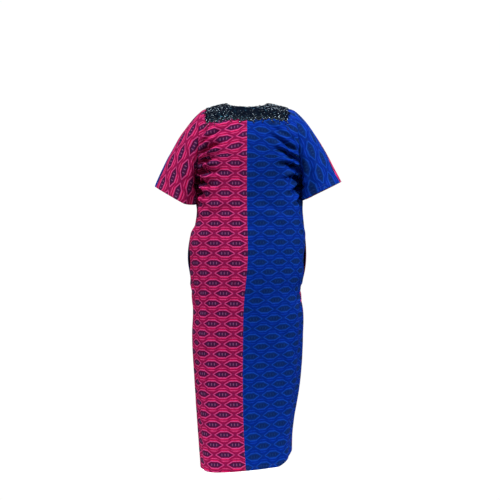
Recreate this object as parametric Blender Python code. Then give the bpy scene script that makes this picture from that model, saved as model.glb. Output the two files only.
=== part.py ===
# A worn full-length boubou, sewn from rose and royal blue wax print: two back and two front
# panels, set-in bell sleeves in halves, side-seam pockets and an applique yoke. It keeps the
# hollow form that it has on its wearer.
#
# Metres, +Z up. The front faces -Y and the wearer's left is +X. The origin is between the
# shoulders, level with the neck's sides, where the wearer holds the robe up.

import math
from collections import namedtuple

import bpy
import numpy as np

# Cloth and seams
cloth_wall = 0.0015
bag_wall = 0.0012
lace_wall = 0.0018
lace_relief = 0.0012
lace_gap = 0.0015
seam_gap = 0.0003
sharpest_mitre = 2.6
diagonal_rank = (0.11, 0.37, 1.0)

# Heights
underarm_height = -0.305
shoulder_tip_height = -0.023
mouth_bottom = -0.700
mouth_top = -0.530

# Grid of each panel: rows of the skirt in three stretches, rows of the yoke, and columns
hem_rows = 13
mouth_rows = 6
waist_rows = 5
yoke_rows = 12
columns = 12
sleeve_rows = 9

left, right = 1, -1
back, front = 1, -1

# Level sections of the body: half widths, depths, how square the corners are (0.55 is an
# ellipse), and how far the back seam wanders to the wearer's left.
Section = namedtuple("Section", "height left right back front square seam")
trunk = (
    Section(-1.444, 0.185, 0.180, 0.148, 0.186, 0.84, 0.004),
    Section(-1.382, 0.190, 0.182, 0.150, 0.183, 0.84, 0.008),
    Section(-1.298, 0.196, 0.190, 0.153, 0.180, 0.83, 0.012),
    Section(-1.190, 0.204, 0.205, 0.157, 0.176, 0.82, 0.015),
    Section(-1.070, 0.212, 0.217, 0.160, 0.173, 0.80, 0.016),
    Section(-0.926, 0.219, 0.224, 0.164, 0.170, 0.78, 0.015),
    Section(-0.820, 0.216, 0.223, 0.167, 0.170, 0.76, 0.013),
    Section(-0.745, 0.220, 0.212, 0.168, 0.170, 0.75, 0.008),
    Section(-0.680, 0.227, 0.227, 0.168, 0.170, 0.74, 0.001),
    Section(-0.610, 0.231, 0.231, 0.166, 0.169, 0.74, -0.003),
    Section(-0.545, 0.229, 0.233, 0.161, 0.166, 0.76, -0.003),
    Section(-0.470, 0.205, 0.226, 0.153, 0.164, 0.80, -0.001),
    Section(-0.390, 0.201, 0.220, 0.147, 0.166, 0.84, 0.000),
    Section(-0.305, 0.203, 0.213, 0.146, 0.168, 0.85, 0.000),
)

# How far each side seam leans, so that the front panel is the widest on that side.
side_lean = {left: 0.03, right: 0.10}
side_seam_depth = 0.005

# The hem rises towards the wearer's right, where the pocket hand holds that side up.
HemLine = namedtuple("HemLine", "across lift")
hem_line = (
    HemLine(-0.176, 0.060),
    HemLine(-0.156, 0.042),
    HemLine(-0.130, 0.026),
    HemLine(-0.086, 0.019),
    HemLine(0.000, 0.010),
    HemLine(0.085, 0.003),
    HemLine(0.185, -0.002),
)
lift_starts = -0.95

# The armhole from the underarm to the shoulder tip, as shares of the way round each half.
Armhole = namedtuple("Armhole", "share left right")
armhole = (
    Armhole(0.00, 0.203, 0.213),
    Armhole(0.17, 0.200, 0.211),
    Armhole(0.33, 0.192, 0.206),
    Armhole(0.50, 0.189, 0.202),
    Armhole(0.67, 0.186, 0.196),
    Armhole(0.83, 0.180, 0.189),
    Armhole(1.00, 0.172, 0.179),
)
armhole_depth = {back: 0.104, front: 0.100}

# The middle of the back and of the front above the underarm.
Middle = namedtuple("Middle", "height depth")
middles = {
    back: (Middle(-0.305, 0.146), Middle(-0.200, 0.143), Middle(-0.120, 0.129),
           Middle(-0.060, 0.104), Middle(-0.022, 0.080)),
    front: (Middle(-0.305, 0.168), Middle(-0.220, 0.158), Middle(-0.150, 0.136),
            Middle(-0.088, 0.104)),
}
neck_row = {back: 8, front: 7}
neck_side = np.array((0.078, 0.002, 0.003))

# How far a yoke row runs straight from its inner and outer ends, as shares of its length.
Reach = namedtuple("Reach", "share inner outer")
reaches = (
    Reach(0.0, 0.850, 0.490),
    Reach(0.3, 0.700, 0.400),
    Reach(0.6, 0.480, 0.340),
    Reach(1.0, 0.333, 0.333),
)
shoulder_fall = 0.35

# The largest folds: turn is in quarters from the middle of the back towards the wearer's
# left, width is in quarters too, and a negative depth is a trough.
Fold = namedtuple("Fold", "turn width depth top bottom drift")
folds = (
    Fold(0.84, 0.085, -0.014, -0.13, -0.52, 0.00),
    Fold(3.16, 0.085, -0.014, -0.13, -0.52, 0.00),
    Fold(0.70, 0.080, -0.006, -0.74, -1.60, 0.05),
    Fold(0.40, 0.110, 0.004, -0.62, -1.60, -0.04),
    Fold(1.22, 0.090, -0.012, -0.84, -1.60, -0.03),
    Fold(1.52, 0.110, 0.010, -0.48, -1.60, 0.05),
    Fold(1.80, 0.090, -0.012, -0.30, -1.60, -0.04),
    Fold(2.18, 0.090, -0.012, -0.30, -1.60, 0.05),
    Fold(2.50, 0.110, 0.011, -0.52, -1.60, -0.03),
    Fold(2.80, 0.090, -0.014, -0.84, -1.60, 0.02),
    Fold(3.20, 0.080, -0.008, -0.66, -1.60, 0.04),
    Fold(3.52, 0.110, 0.004, -0.80, -1.60, 0.03),
)
fold_fade = 0.16

# Each cuff is a ring: its middle, the way from there to the outer corner and the back, and how
# far the underarm corner is drawn up.
Cuff = namedtuple("Cuff", "middle outer back lift")
cuffs = {
    left: Cuff((0.285, 0.006, -0.374), (0.078, 0.004, 0.042), (-0.036, 0.090, -0.026), 0.028),
    right: Cuff((0.298, 0.006, -0.348), (0.073, 0.004, 0.036), (-0.036, 0.090, -0.018), 0.000),
}
cuff_waves = 5
cuff_wave_depth = 0.004
cuff_lift_power = 1.3

# Which way the sleeve leaves the armhole and meets the cuff, round from the underarm.
Heading = namedtuple("Heading", "share out away down reach end_out end_down end_reach")
headings = {
    left: (
        Heading(0.00, 0.84, 0.00, -0.54, 0.060, 0.02, -1.00, 0.085),
        Heading(0.25, 0.66, 0.20, -0.72, 0.110, 0.10, -0.99, 0.140),
        Heading(0.50, 0.52, 0.16, -0.84, 0.210, 0.24, -0.97, 0.220),
        Heading(0.75, 0.70, 0.08, -0.71, 0.300, 0.32, -0.95, 0.300),
        Heading(1.00, 0.80, 0.00, -0.60, 0.365, 0.37, -0.93, 0.365),
    ),
    right: (
        Heading(0.00, 0.86, 0.00, -0.51, 0.055, 0.06, -1.00, 0.070),
        Heading(0.25, 0.66, 0.20, -0.72, 0.105, 0.16, -0.98, 0.120),
        Heading(0.50, 0.54, 0.16, -0.83, 0.210, 0.32, -0.94, 0.200),
        Heading(0.75, 0.76, 0.08, -0.65, 0.280, 0.42, -0.91, 0.260),
        Heading(1.00, 0.87, 0.00, -0.49, 0.310, 0.48, -0.88, 0.300),
    ),
}

# The pocket mouth's gape. The bag takes the front panel's columns, counted from the side seam,
# between a low and a high row of its grid.
mouth_gape = {back: (-0.007, 0.011), front: (0.006, -0.009)}
gape_reach = 5
Bag = namedtuple("Bag", "low high")
bag_outline = (
    Bag(11.6, 19.0),
    Bag(11.2, 19.0),
    Bag(11.0, 19.0),
    Bag(11.0, 18.9),
    Bag(11.15, 18.7),
    Bag(11.6, 18.3),
)
bag_rows = (11, hem_rows + mouth_rows)
bag_inset = {front: 0.0020, back: 0.0037}
bag_fullness = 0.024

# The applique's lower edge in yoke rows, from the middle to the shoulder, the share of each
# row that it covers, and its rows below and above the neckline's lowest point.
lace_low = {back: (6.6, 9.15), front: (6.0, 9.25)}
lace_width = 11 / 12
lace_columns = 22
lace_scallops = 5
lace_scallop_depth = 0.42
lace_rows = (4, 9)
lace_petals = 2.5

print_rose = (0.80, 0.03, 0.14, 1)
print_blue = (0.02, 0.06, 0.50, 1)
lace_black = (0.01, 0.012, 0.015, 1)
cloth_roughness = 0.75
lace_roughness = 0.6


def follow(table, place):
    """Reads every column but the first, as a smooth curve through the table's rows."""
    rows = np.array(table, float)
    places = rows[:, 0]
    slopes = np.gradient(rows, places, axis=0)
    i = int(np.clip(np.searchsorted(places, place) - 1, 0, len(places) - 2))
    step = places[i + 1] - places[i]
    s = np.clip((place - places[i]) / step, 0, 1)
    value = (
        (1 + 2 * s) * (1 - s) ** 2 * rows[i]
        + s * s * (3 - 2 * s) * rows[i + 1]
        + step * s * (1 - s) ** 2 * slopes[i]
        - step * s * s * (1 - s) * slopes[i + 1]
    )
    return value[1:]


def unit(vector):
    return vector / np.linalg.norm(vector)


def bezier(points, s):
    a, b, c, d = points
    return (1 - s) ** 3 * a + 3 * (1 - s) ** 2 * s * b + 3 * (1 - s) * s * s * c + s**3 * d


def bezier_heading(points, s):
    a, b, c, d = points
    return (1 - s) ** 2 * (b - a) + 2 * (1 - s) * s * (c - b) + s * s * (d - c)


def smooth_step(value):
    value = min(max(value, 0.0), 1.0)
    return value * value * (3 - 2 * value)


def mouth_share(height):
    """1 in the middle of the pocket mouth, 0 at its ends and beyond."""
    share = (height - mouth_bottom) / (mouth_top - mouth_bottom)
    return math.sin(math.pi * share) ** 2 if 0 < share < 1 else 0.0


def fold_depth(turn, height):
    """How far all the folds together move the cloth outwards."""
    total = 0.0
    for fold in folds:
        fall = (fold.top - height) / (fold.top - fold.bottom)
        strength = smooth_step((fold.top - height) / fold_fade)
        strength *= smooth_step((height - fold.bottom) / fold_fade)
        away = abs((turn - fold.turn - fold.drift * fall + 2) % 4 - 2)
        total += fold.depth * strength * math.exp(-((away / fold.width) ** 2))
    return total


def turn_of(side, face, share):
    """Where a share of a panel's width lies, in quarters round from the middle of the back."""
    turn = share if face == back else 2 - share
    return turn if side == left else 4 - turn


def skirt_frame(side, face, height):
    """The four points that steer a level row from the middle seam to the side seam."""
    wide_left, wide_right, deep_back, deep_front, square, seam = follow(trunk, height)
    wide = side * (wide_left if side == left else wide_right)
    deep = face * (deep_back if face == back else deep_front)
    inner = np.array((seam if face == back else 0.0, deep, height))
    outer = np.array((wide, side_seam_depth, height))
    along = square * (outer[0] - inner[0])
    across = square * (inner[1] - outer[1])
    lean = -side * face * side_lean[side] * abs(across)
    return inner, inner + (along, 0, 0), outer + (lean, across, 0), outer


def inner_end(side, face, share):
    """The middle seam up to the neck, then the neckline round to the shoulder."""
    table = middles[face]
    turning = neck_row[face] / yoke_rows
    if share <= turning:
        height = table[0].height + (table[-1].height - table[0].height) * share / turning
        return np.array((0, face * follow(table, height)[0], height))
    angle = math.pi / 2 * (share - turning) / (1 - turning)
    top, deep = table[-1].height, face * table[-1].depth
    return np.array((
        side * neck_side[0] * math.sin(angle),
        neck_side[1] + (deep - neck_side[1]) * math.cos(angle),
        top + (neck_side[2] - top) * (1 - math.cos(angle)),
    ))


def outer_end(side, face, share):
    """The armhole: half an ellipse in height and depth, swelling outwards below."""
    angle = math.pi * (share - 0.5)
    wide = follow(armhole, share)[0 if side == left else 1]
    middle = (shoulder_tip_height + underarm_height) / 2
    half = (shoulder_tip_height - underarm_height) / 2
    return np.array((
        side * wide,
        side_seam_depth + face * armhole_depth[face] * math.cos(angle),
        middle + half * math.sin(angle),
    ))


def yoke_frame(side, face, share):
    """The four points that steer a row from the middle or the neck to the armhole."""
    inner = inner_end(side, face, share)
    outer = outer_end(side, face, share)
    inner_reach, outer_reach = follow(reaches, share)
    along = inner_reach * (outer[0] - inner[0])
    across = outer_reach * np.linalg.norm(outer - inner)
    turned = math.pi / 2 * (1 - share)
    lean = -side * face * side_lean[side] * across * (1 - share) ** 2
    rise = shoulder_fall * (inner[2] - outer[2]) * smooth_step(share / 0.35)
    steer = (lean - side * across * math.cos(turned), face * across * math.sin(turned), rise)
    return inner, inner + (along, 0, 0), outer + steer, outer


def cloth_point(frame, side, face, share):
    """A point of the body's cloth, with its folds and the pocket's gape."""
    point = bezier(frame, share)
    ahead = bezier_heading(frame, share)
    outwards = side * face * unit(np.array((-ahead[1], ahead[0], 0)))
    height = point[2]
    point = point + outwards * fold_depth(turn_of(side, face, share), height)
    wide, deep = mouth_gape[face]
    gape = mouth_share(height) * share**gape_reach
    point = point + np.array((side * wide, deep, 0)) * gape
    low = smooth_step((lift_starts - height) / (lift_starts - trunk[0].height))
    return point + np.array((0, 0, follow(hem_line, point[0])[0] * low))


def skirt_point(side, face, share, height):
    return cloth_point(skirt_frame(side, face, height), side, face, share)


skirt_heights = np.concatenate((
    np.linspace(trunk[0].height, mouth_bottom, hem_rows + 1),
    np.linspace(mouth_bottom, mouth_top, mouth_rows + 1)[1:],
    np.linspace(mouth_top, underarm_height, waist_rows + 1)[1:],
))
shares = np.linspace(0, 1, columns + 1)


def panel_points(side, face):
    rows = [[skirt_point(side, face, s, h) for s in shares] for h in skirt_heights]
    for step in range(1, yoke_rows + 1):
        frame = yoke_frame(side, face, step / yoke_rows)
        rows.append([cloth_point(frame, side, face, s) for s in shares])
    return np.array(rows)


def cuff_point(side, face, share):
    """A point of the cuff's ring, from the underarm seam at 0 to the overarm seam at 1."""
    angle = math.pi * (share - 0.5)
    cuff = cuffs[side]
    outer, away = np.array(cuff.outer), face * np.array(cuff.back)
    swell = 1 + cuff_wave_depth / abs(cuff.back[1]) * math.sin(
        cuff_waves * (angle if face == back else math.pi - angle) + side)
    point = np.array(cuff.middle) + outer * math.sin(angle) + away * math.cos(angle) * swell
    point[2] += cuff.lift * max(0, -math.sin(angle)) ** cuff_lift_power
    return point * (side, 1, 1)


def sleeve_points(side, face, edge):
    """Rows from the armhole's edge to the cuff, as curves that leave and arrive smoothly."""
    result = []
    for step in range(sleeve_rows + 1):
        s = step / sleeve_rows
        row = []
        for i, start in enumerate(edge):
            share = i / (len(edge) - 1)
            out, away, down, reach, end_out, end_down, end_reach = follow(headings[side], share)
            leave = np.array((side * out, face * away, down)) * reach
            arrive = np.array((side * end_out, 0, end_down)) * end_reach
            end = cuff_point(side, face, share)
            row.append(bezier((start, start + leave / 3, end - arrive / 3, end), s))
        result.append(row)
    return np.array(result)


def outward_grid(points, flipped):
    """The same grid, with its columns in the order that makes its faces point outwards."""
    return points[:, ::-1] if flipped else points


def own_normals(grid):
    """Unit normals of one grid, each face weighed by its area."""
    faces = np.cross(grid[1:, :-1] - grid[:-1, 1:], grid[1:, 1:] - grid[:-1, :-1])
    total = np.zeros_like(grid)
    total[:-1, :-1] += faces
    total[:-1, 1:] += faces
    total[1:, :-1] += faces
    total[1:, 1:] += faces
    return total / np.linalg.norm(total, axis=-1, keepdims=True)


def shared_normals(grids):
    """Normals for every grid point. Where pieces meet at a seam they get the same one, longer
    where the cloth turns sharply, so that both walls end in one mitre."""
    meeting = {}
    for grid in grids.values():
        for point, normal in zip(grid.reshape(-1, 3), own_normals(grid).reshape(-1, 3)):
            meeting.setdefault(tuple(np.round(point, 6)), []).append(normal)
    mitres = {}
    for key, normals in meeting.items():
        middle = unit(np.sum(normals, axis=0))
        level = np.mean([normal @ middle for normal in normals])
        mitres[key] = middle * min(1 / max(level, 0.1), sharpest_mitre)
    return {
        name: np.array([mitres[tuple(np.round(point, 6))] for point in grid.reshape(-1, 3)]
                       ).reshape(grid.shape)
        for name, grid in grids.items()
    }


def drawn_in(grid, normals):
    """Moves the border points into the piece by half a seam's gap, measured across the seam."""
    rows, along = grid.shape[:2]
    border = [(0, column) for column in range(along)]
    border += [(row, along - 1) for row in range(1, rows)]
    border += [(rows - 1, column) for column in range(along - 2, -1, -1)]
    border += [(row, 0) for row in range(rows - 2, 0, -1)]
    own = own_normals(grid)
    moves = np.zeros_like(grid)
    for before, here, after in zip(border[-1:] + border[:-1], border, border[1:] + border[:1]):
        first = unit(np.cross(grid[here] - grid[before], own[here]))
        second = unit(np.cross(grid[after] - grid[here], own[here]))
        spread = (first + second) / max(1 + first @ second, 0.5)
        moves[here] = spread * seam_gap / 2 * np.linalg.norm(normals[here])
    return moves


def wall_mesh(name, inner, outer, faces):
    """A closed wall between two layers of points that share their faces."""
    count = len(inner)
    open_edges = {}
    for face in faces:
        for a, b in zip(face, face[1:] + face[:1]):
            if (b, a) in open_edges:
                del open_edges[b, a]
            else:
                open_edges[a, b] = None
    closed = [tuple(i + count for i in face) for face in faces]
    closed += [face[::-1] for face in faces]
    # Both pieces at a seam split its twisted edge along the same diagonal.
    rank = inner @ diagonal_rank
    for a, b in open_edges:
        if rank[a] < rank[b]:
            closed += [(a, b, b + count), (a, b + count, a + count)]
        else:
            closed += [(a, b, a + count), (b, b + count, a + count)]
    mesh = bpy.data.meshes.new(name)
    mesh.from_pydata(np.concatenate((inner, outer)).tolist(), [], closed)
    mesh.validate()
    mesh.shade_smooth()
    mesh.set_sharp_from_angle(angle=math.radians(50))
    return mesh


def grid_faces(rows, along):
    """Two triangles for each cell of a grid of rows by along points."""
    faces = []
    for row in range(rows - 1):
        for column in range(along - 1):
            a = row * along + column
            b, c, d = a + 1, a + along + 1, a + along
            faces += [(a, c, b), (a, d, c)]
    return faces


def print_colour(side, face):
    """The robe is counterchanged: rose at the back left and front right, blue elsewhere."""
    return print_rose if side * face > 0 else print_blue


def cloth_material(name, colour, roughness):
    material = bpy.data.materials.new(name)
    material.use_nodes = True
    surface = material.node_tree.nodes["Principled BSDF"]
    surface.inputs["Base Color"].default_value = colour
    surface.inputs["Roughness"].default_value = roughness
    surface.inputs["Metallic"].default_value = 0.0
    return material


def add_piece(name, mesh, material, parent):
    piece = bpy.data.objects.new(name, mesh)
    piece.data.materials.append(material)
    piece.parent = parent
    bpy.context.scene.collection.objects.link(piece)
    return piece


def grid_piece(name, grid, normals, wall, material, parent):
    moved = grid + drawn_in(grid, normals)
    inner = (moved - normals * wall / 2).reshape(-1, 3)
    outer = (moved + normals * wall / 2).reshape(-1, 3)
    faces = grid_faces(*grid.shape[:2])
    add_piece(name, wall_mesh(name, inner, outer, faces), material, parent)


def read_grid(grid, row, share):
    """A point between the grid's own, on the two triangles of its cell."""
    rows, along = grid.shape[:2]
    column = share * (along - 1)
    i = min(int(row), rows - 2)
    j = min(int(column), along - 2)
    u, v = row - i, column - j
    a, b, c, d = grid[i, j], grid[i, j + 1], grid[i + 1, j + 1], grid[i + 1, j]
    if u >= v:
        return a + (d - a) * u + (c - d) * v
    return a + (b - a) * v + (c - b) * u


def from_seam(grid, side, face):
    """A panel's outward grid, or its normals, with the side seam's column first."""
    return grid if side * face < 0 else grid[:, ::-1]


def read_column(column, row):
    i = min(int(row), len(column) - 2)
    return column[i] + (column[i + 1] - column[i]) * (row - i)


def bag_grid(side, layer, grids, normals):
    """One layer of a pocket bag: the front panel's points, moved inwards. Along the mouth the
    back layer's edge is drawn over to the back panel's edge."""
    ahead, behind = ("panel", side, front), ("panel", side, back)
    points, lifts = (from_seam(part[ahead], side, front) for part in (grids, normals))
    edge, edge_lifts = (from_seam(part[behind], side, back)[:, 0] for part in (grids, normals))
    lowest, highest = bag_rows
    line = []
    for column, (low, high) in enumerate(bag_outline):
        spread = column / (len(bag_outline) - 1)
        levels = np.arange(lowest, highest + 1.0)
        levels[0], levels[-1] = low, high
        for step, row in enumerate(levels):
            upward = step / (len(levels) - 1)
            inset = bag_inset[layer]
            home = read_column(points[:, 0], row) - read_column(lifts[:, 0], row) * inset
            point = read_column(points[:, column], row)
            lift = read_column(lifts[:, column], row)
            if layer == back:
                near = inset + (bag_inset[front] - inset) * mouth_share(point[2])
                over = read_column(edge, row) - read_column(edge_lifts, row) * near
                point = point + (over - home) * (1 - spread) ** 2
                inset += bag_fullness * math.sin(math.pi * upward) * math.sin(math.pi * spread)
            line.append(point - lift * inset)
    grid = np.array(line).reshape(len(bag_outline), -1, 3).swapaxes(0, 1)
    return outward_grid(grid, side < 0)


def lace_mesh(name, grids, normals):
    """The applique: a sheet over each panel's top rows, all welded into one ring. Its lower edge
    is scalloped, and its petals stand up from a plain inside."""
    inner, outer, faces, places = [], [], [], {}
    first_row = len(skirt_heights) - 1
    below, above = lace_rows
    for (kind, side, face), grid in grids.items():
        if kind != "panel":
            continue
        lifts = normals[kind, side, face]
        flipped = side * face < 0
        near, far = lace_low[face]
        turning = (neck_row[face] - near) / (yoke_rows - near)
        levels = np.concatenate((
            np.linspace(0, turning, below + 1),
            np.linspace(turning, 1, above + 1)[1:],
        ))
        index = np.zeros((len(levels), lace_columns + 1), int)
        for column in range(lace_columns + 1):
            spread = column / lace_columns
            scallop = abs(math.sin(math.pi * lace_scallops * spread))
            low = near + (far - near) * spread - lace_scallop_depth * scallop
            for row, level in enumerate(levels):
                share = spread * lace_width
                place = first_row + low + (yoke_rows - low) * level, 1 - share if flipped else share
                base = read_grid(grid, *place)
                lift = unit(read_grid(lifts, *place))
                petal = scallop * abs(math.sin(math.pi * lace_petals * level))
                key = tuple(np.round(base, 5))
                if key not in places:
                    places[key] = len(inner)
                    inner.append(base + lift * (cloth_wall / 2 + lace_gap))
                    outer.append(inner[-1] + lift * (lace_wall + lace_relief * petal))
                index[row, column] = places[key]
        for row in range(len(levels) - 1):
            for column in range(lace_columns):
                a, b = index[row, column], index[row, column + 1]
                c, d = index[row + 1, column + 1], index[row + 1, column]
                pair = [(a, c, b), (a, d, c)]
                faces += [f[::-1] for f in pair] if flipped else pair
    return wall_mesh(name, np.array(inner), np.array(outer), faces)


def clear_scene():
    for item in list(bpy.data.objects):
        bpy.data.objects.remove(item)


def build():
    clear_scene()
    robe = bpy.data.objects.new("robe", None)
    bpy.context.scene.collection.objects.link(robe)
    sides = {left: "left", right: "right"}
    faces = {back: "back", front: "front"}
    panels = {(side, face): panel_points(side, face) for side in sides for face in faces}

    grids = {}
    for (side, face), points in panels.items():
        grids["panel", side, face] = outward_grid(points, side * face < 0)
        armhole_edge = points[len(skirt_heights) - 1:, -1]
        sleeve = sleeve_points(side, face, armhole_edge)
        grids["sleeve", side, face] = outward_grid(sleeve, side * face > 0)
    normals = shared_normals(grids)

    for (kind, side, face), grid in grids.items():
        place, half = sides[side], faces[face]
        name = f"sleeve_{place}_{half}" if kind == "sleeve" else f"{half}_{place}"
        material = cloth_material(name, print_colour(side, face), cloth_roughness)
        grid_piece(name, grid, normals[kind, side, face], cloth_wall, material, robe)

    for side in sides:
        for layer in faces:
            bag = bag_grid(side, layer, grids, normals)
            name = f"pocket_{sides[side]}_{faces[layer]}"
            material = cloth_material(name, print_colour(side, layer), cloth_roughness)
            grid_piece(name, bag, own_normals(bag), bag_wall, material, robe)

    name = "neck_applique"
    material = cloth_material(name, lace_black, lace_roughness)
    add_piece(name, lace_mesh(name, grids, normals), material, robe)


build()
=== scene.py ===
import math
from collections import namedtuple

import bpy
import numpy as np
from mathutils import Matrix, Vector, noise


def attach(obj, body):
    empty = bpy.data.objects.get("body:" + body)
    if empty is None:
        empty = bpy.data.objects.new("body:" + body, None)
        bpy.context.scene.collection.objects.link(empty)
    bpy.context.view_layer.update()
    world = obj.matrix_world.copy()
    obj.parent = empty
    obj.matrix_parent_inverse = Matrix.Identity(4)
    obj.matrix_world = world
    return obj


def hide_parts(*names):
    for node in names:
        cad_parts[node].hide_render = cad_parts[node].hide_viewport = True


# Looks of a worn boubou in rose and royal blue wax print. Metres, Z up, front at -Y, the
# wearer's left at +X. The tables of the body and the sleeves are those of its solids.

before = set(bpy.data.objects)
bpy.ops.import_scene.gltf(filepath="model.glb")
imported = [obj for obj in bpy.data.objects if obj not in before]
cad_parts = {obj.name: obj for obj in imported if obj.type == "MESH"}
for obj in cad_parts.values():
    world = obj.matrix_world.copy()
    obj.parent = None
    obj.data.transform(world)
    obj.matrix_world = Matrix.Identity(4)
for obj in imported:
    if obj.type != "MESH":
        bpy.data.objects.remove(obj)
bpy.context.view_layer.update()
print("frame loaded")

left, right = 1, -1
back, front = 1, -1
sides = {left: "Left", right: "Right"}
faces = {back: "Back", front: "Front"}
quarters = [(side, face) for side in sides for face in faces]


def srgb(code):
    # '#rrggbb' as it looks on a screen, turned to linear
    parts = [int(code[i:i + 2], 16) / 255 for i in (1, 3, 5)]
    return (*[p / 12.92 if p <= 0.04045 else ((p + 0.055) / 1.055) ** 2.4 for p in parts], 1)


def feed(tree, node, inputs):
    # inputs by name or in order, each of them a number, a colour, a socket or a whole node
    for name, value in inputs.items() if isinstance(inputs, dict) else enumerate(inputs):
        if isinstance(value, bpy.types.Node):
            value = value.outputs[0]
        if isinstance(value, bpy.types.NodeSocket):
            tree.links.new(value, node.inputs[name])
        else:
            node.inputs[name].default_value = value


def addNode(tree, kind, settings=None, inputs=None):
    # settings are the node's own, or just the word for its operation
    node = tree.nodes.new(kind)
    if isinstance(settings, str):
        settings = {"operation": settings}
    for name, value in (settings or {}).items():
        setattr(node, name, value)
    feed(tree, node, inputs or {})
    return node


def newMaterial(name):
    material = bpy.data.materials.new(name)
    material.use_nodes = True
    tree = material.node_tree
    return material, tree, tree.nodes["Principled BSDF"]


def newObject(name, data):
    made = bpy.data.objects.new(name, data)
    bpy.context.scene.collection.objects.link(made)
    return made


def newMesh(name, points, polygons, edges=()):
    mesh = bpy.data.meshes.new(name)
    mesh.from_pydata(np.asarray(points).tolist(), list(edges), polygons)
    return mesh


def setRamp(ramp, stops):
    elements = ramp.color_ramp.elements
    while len(elements) > 1:
        elements.remove(elements[-1])
    for i, (place, colour) in enumerate(stops):
        element = elements[0] if i == 0 else elements.new(place)
        element.position = place
        element.color = srgb(colour)


# Wax print on plain-woven cotton: saturated colour on both faces, fine crackle where the wax
# broke, and a faint sheen. One lozenge is a dark bar with three dots in a pale outline.
waxPrint = {
    "repeatLong": 0.0890,            # between neighbours along a lozenge
    "repeatShort": 0.0777,           # between neighbours across it
    "flatHalf": 0.0145,              # half the straight part of a lozenge's side
    "slope": 0.55,                   # how steeply its ends come to a point
    "dotPitch": 0.0125,
    "dotHalf": (0.0019, 0.0052),
    "knotHalf": (0.0100, 0.0095),    # the small knot where four lozenges meet
    "bandReach": 0.028,              # the bands are shares of this distance from a lozenge's middle
    "outlineEnds": (0.0150, 0.0156),
    "bleed": 0.0010,
    "crackleScale": 34.0,            # real crackle is finer, drawn coarser so that it shows
    "dyeScale": 26.0,
    "slubScale": 420.0,
    "threadPitch": 0.0009,           # real thread is 0.35 mm, drawn coarser so that it shows
}
# bands outwards from a lozenge's middle, in millimetres
printBands = (
    ("core", 0.0, 6.4), ("rim", 7.4, 9.7), ("line", 10.2, 11.2), ("outline", 12.0, 14.6),
    ("field", 15.6, 17.8), ("line", 18.6, 21.6), ("bar", 22.6, 25.2), ("stripe", 26.2, 28.0),
)
roseCloth = {
    "core": "#38143A", "rim": "#48062C", "outline": "#B03E78", "line": "#78083A", "field": "#C61650",
    "bar": "#C2366E", "stripe": "#7E0E42", "knot": "#701242", "dots": "#784468", "crackle": "#600632",
}
blueCloth = {
    "core": "#061E54", "rim": "#062560", "outline": "#0D388E", "line": "#001E70", "field": "#052A8C",
    "bar": "#082E90", "stripe": "#011F76", "knot": "#05246C", "dots": "#0D2E60", "crackle": "#001D60",
}


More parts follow.
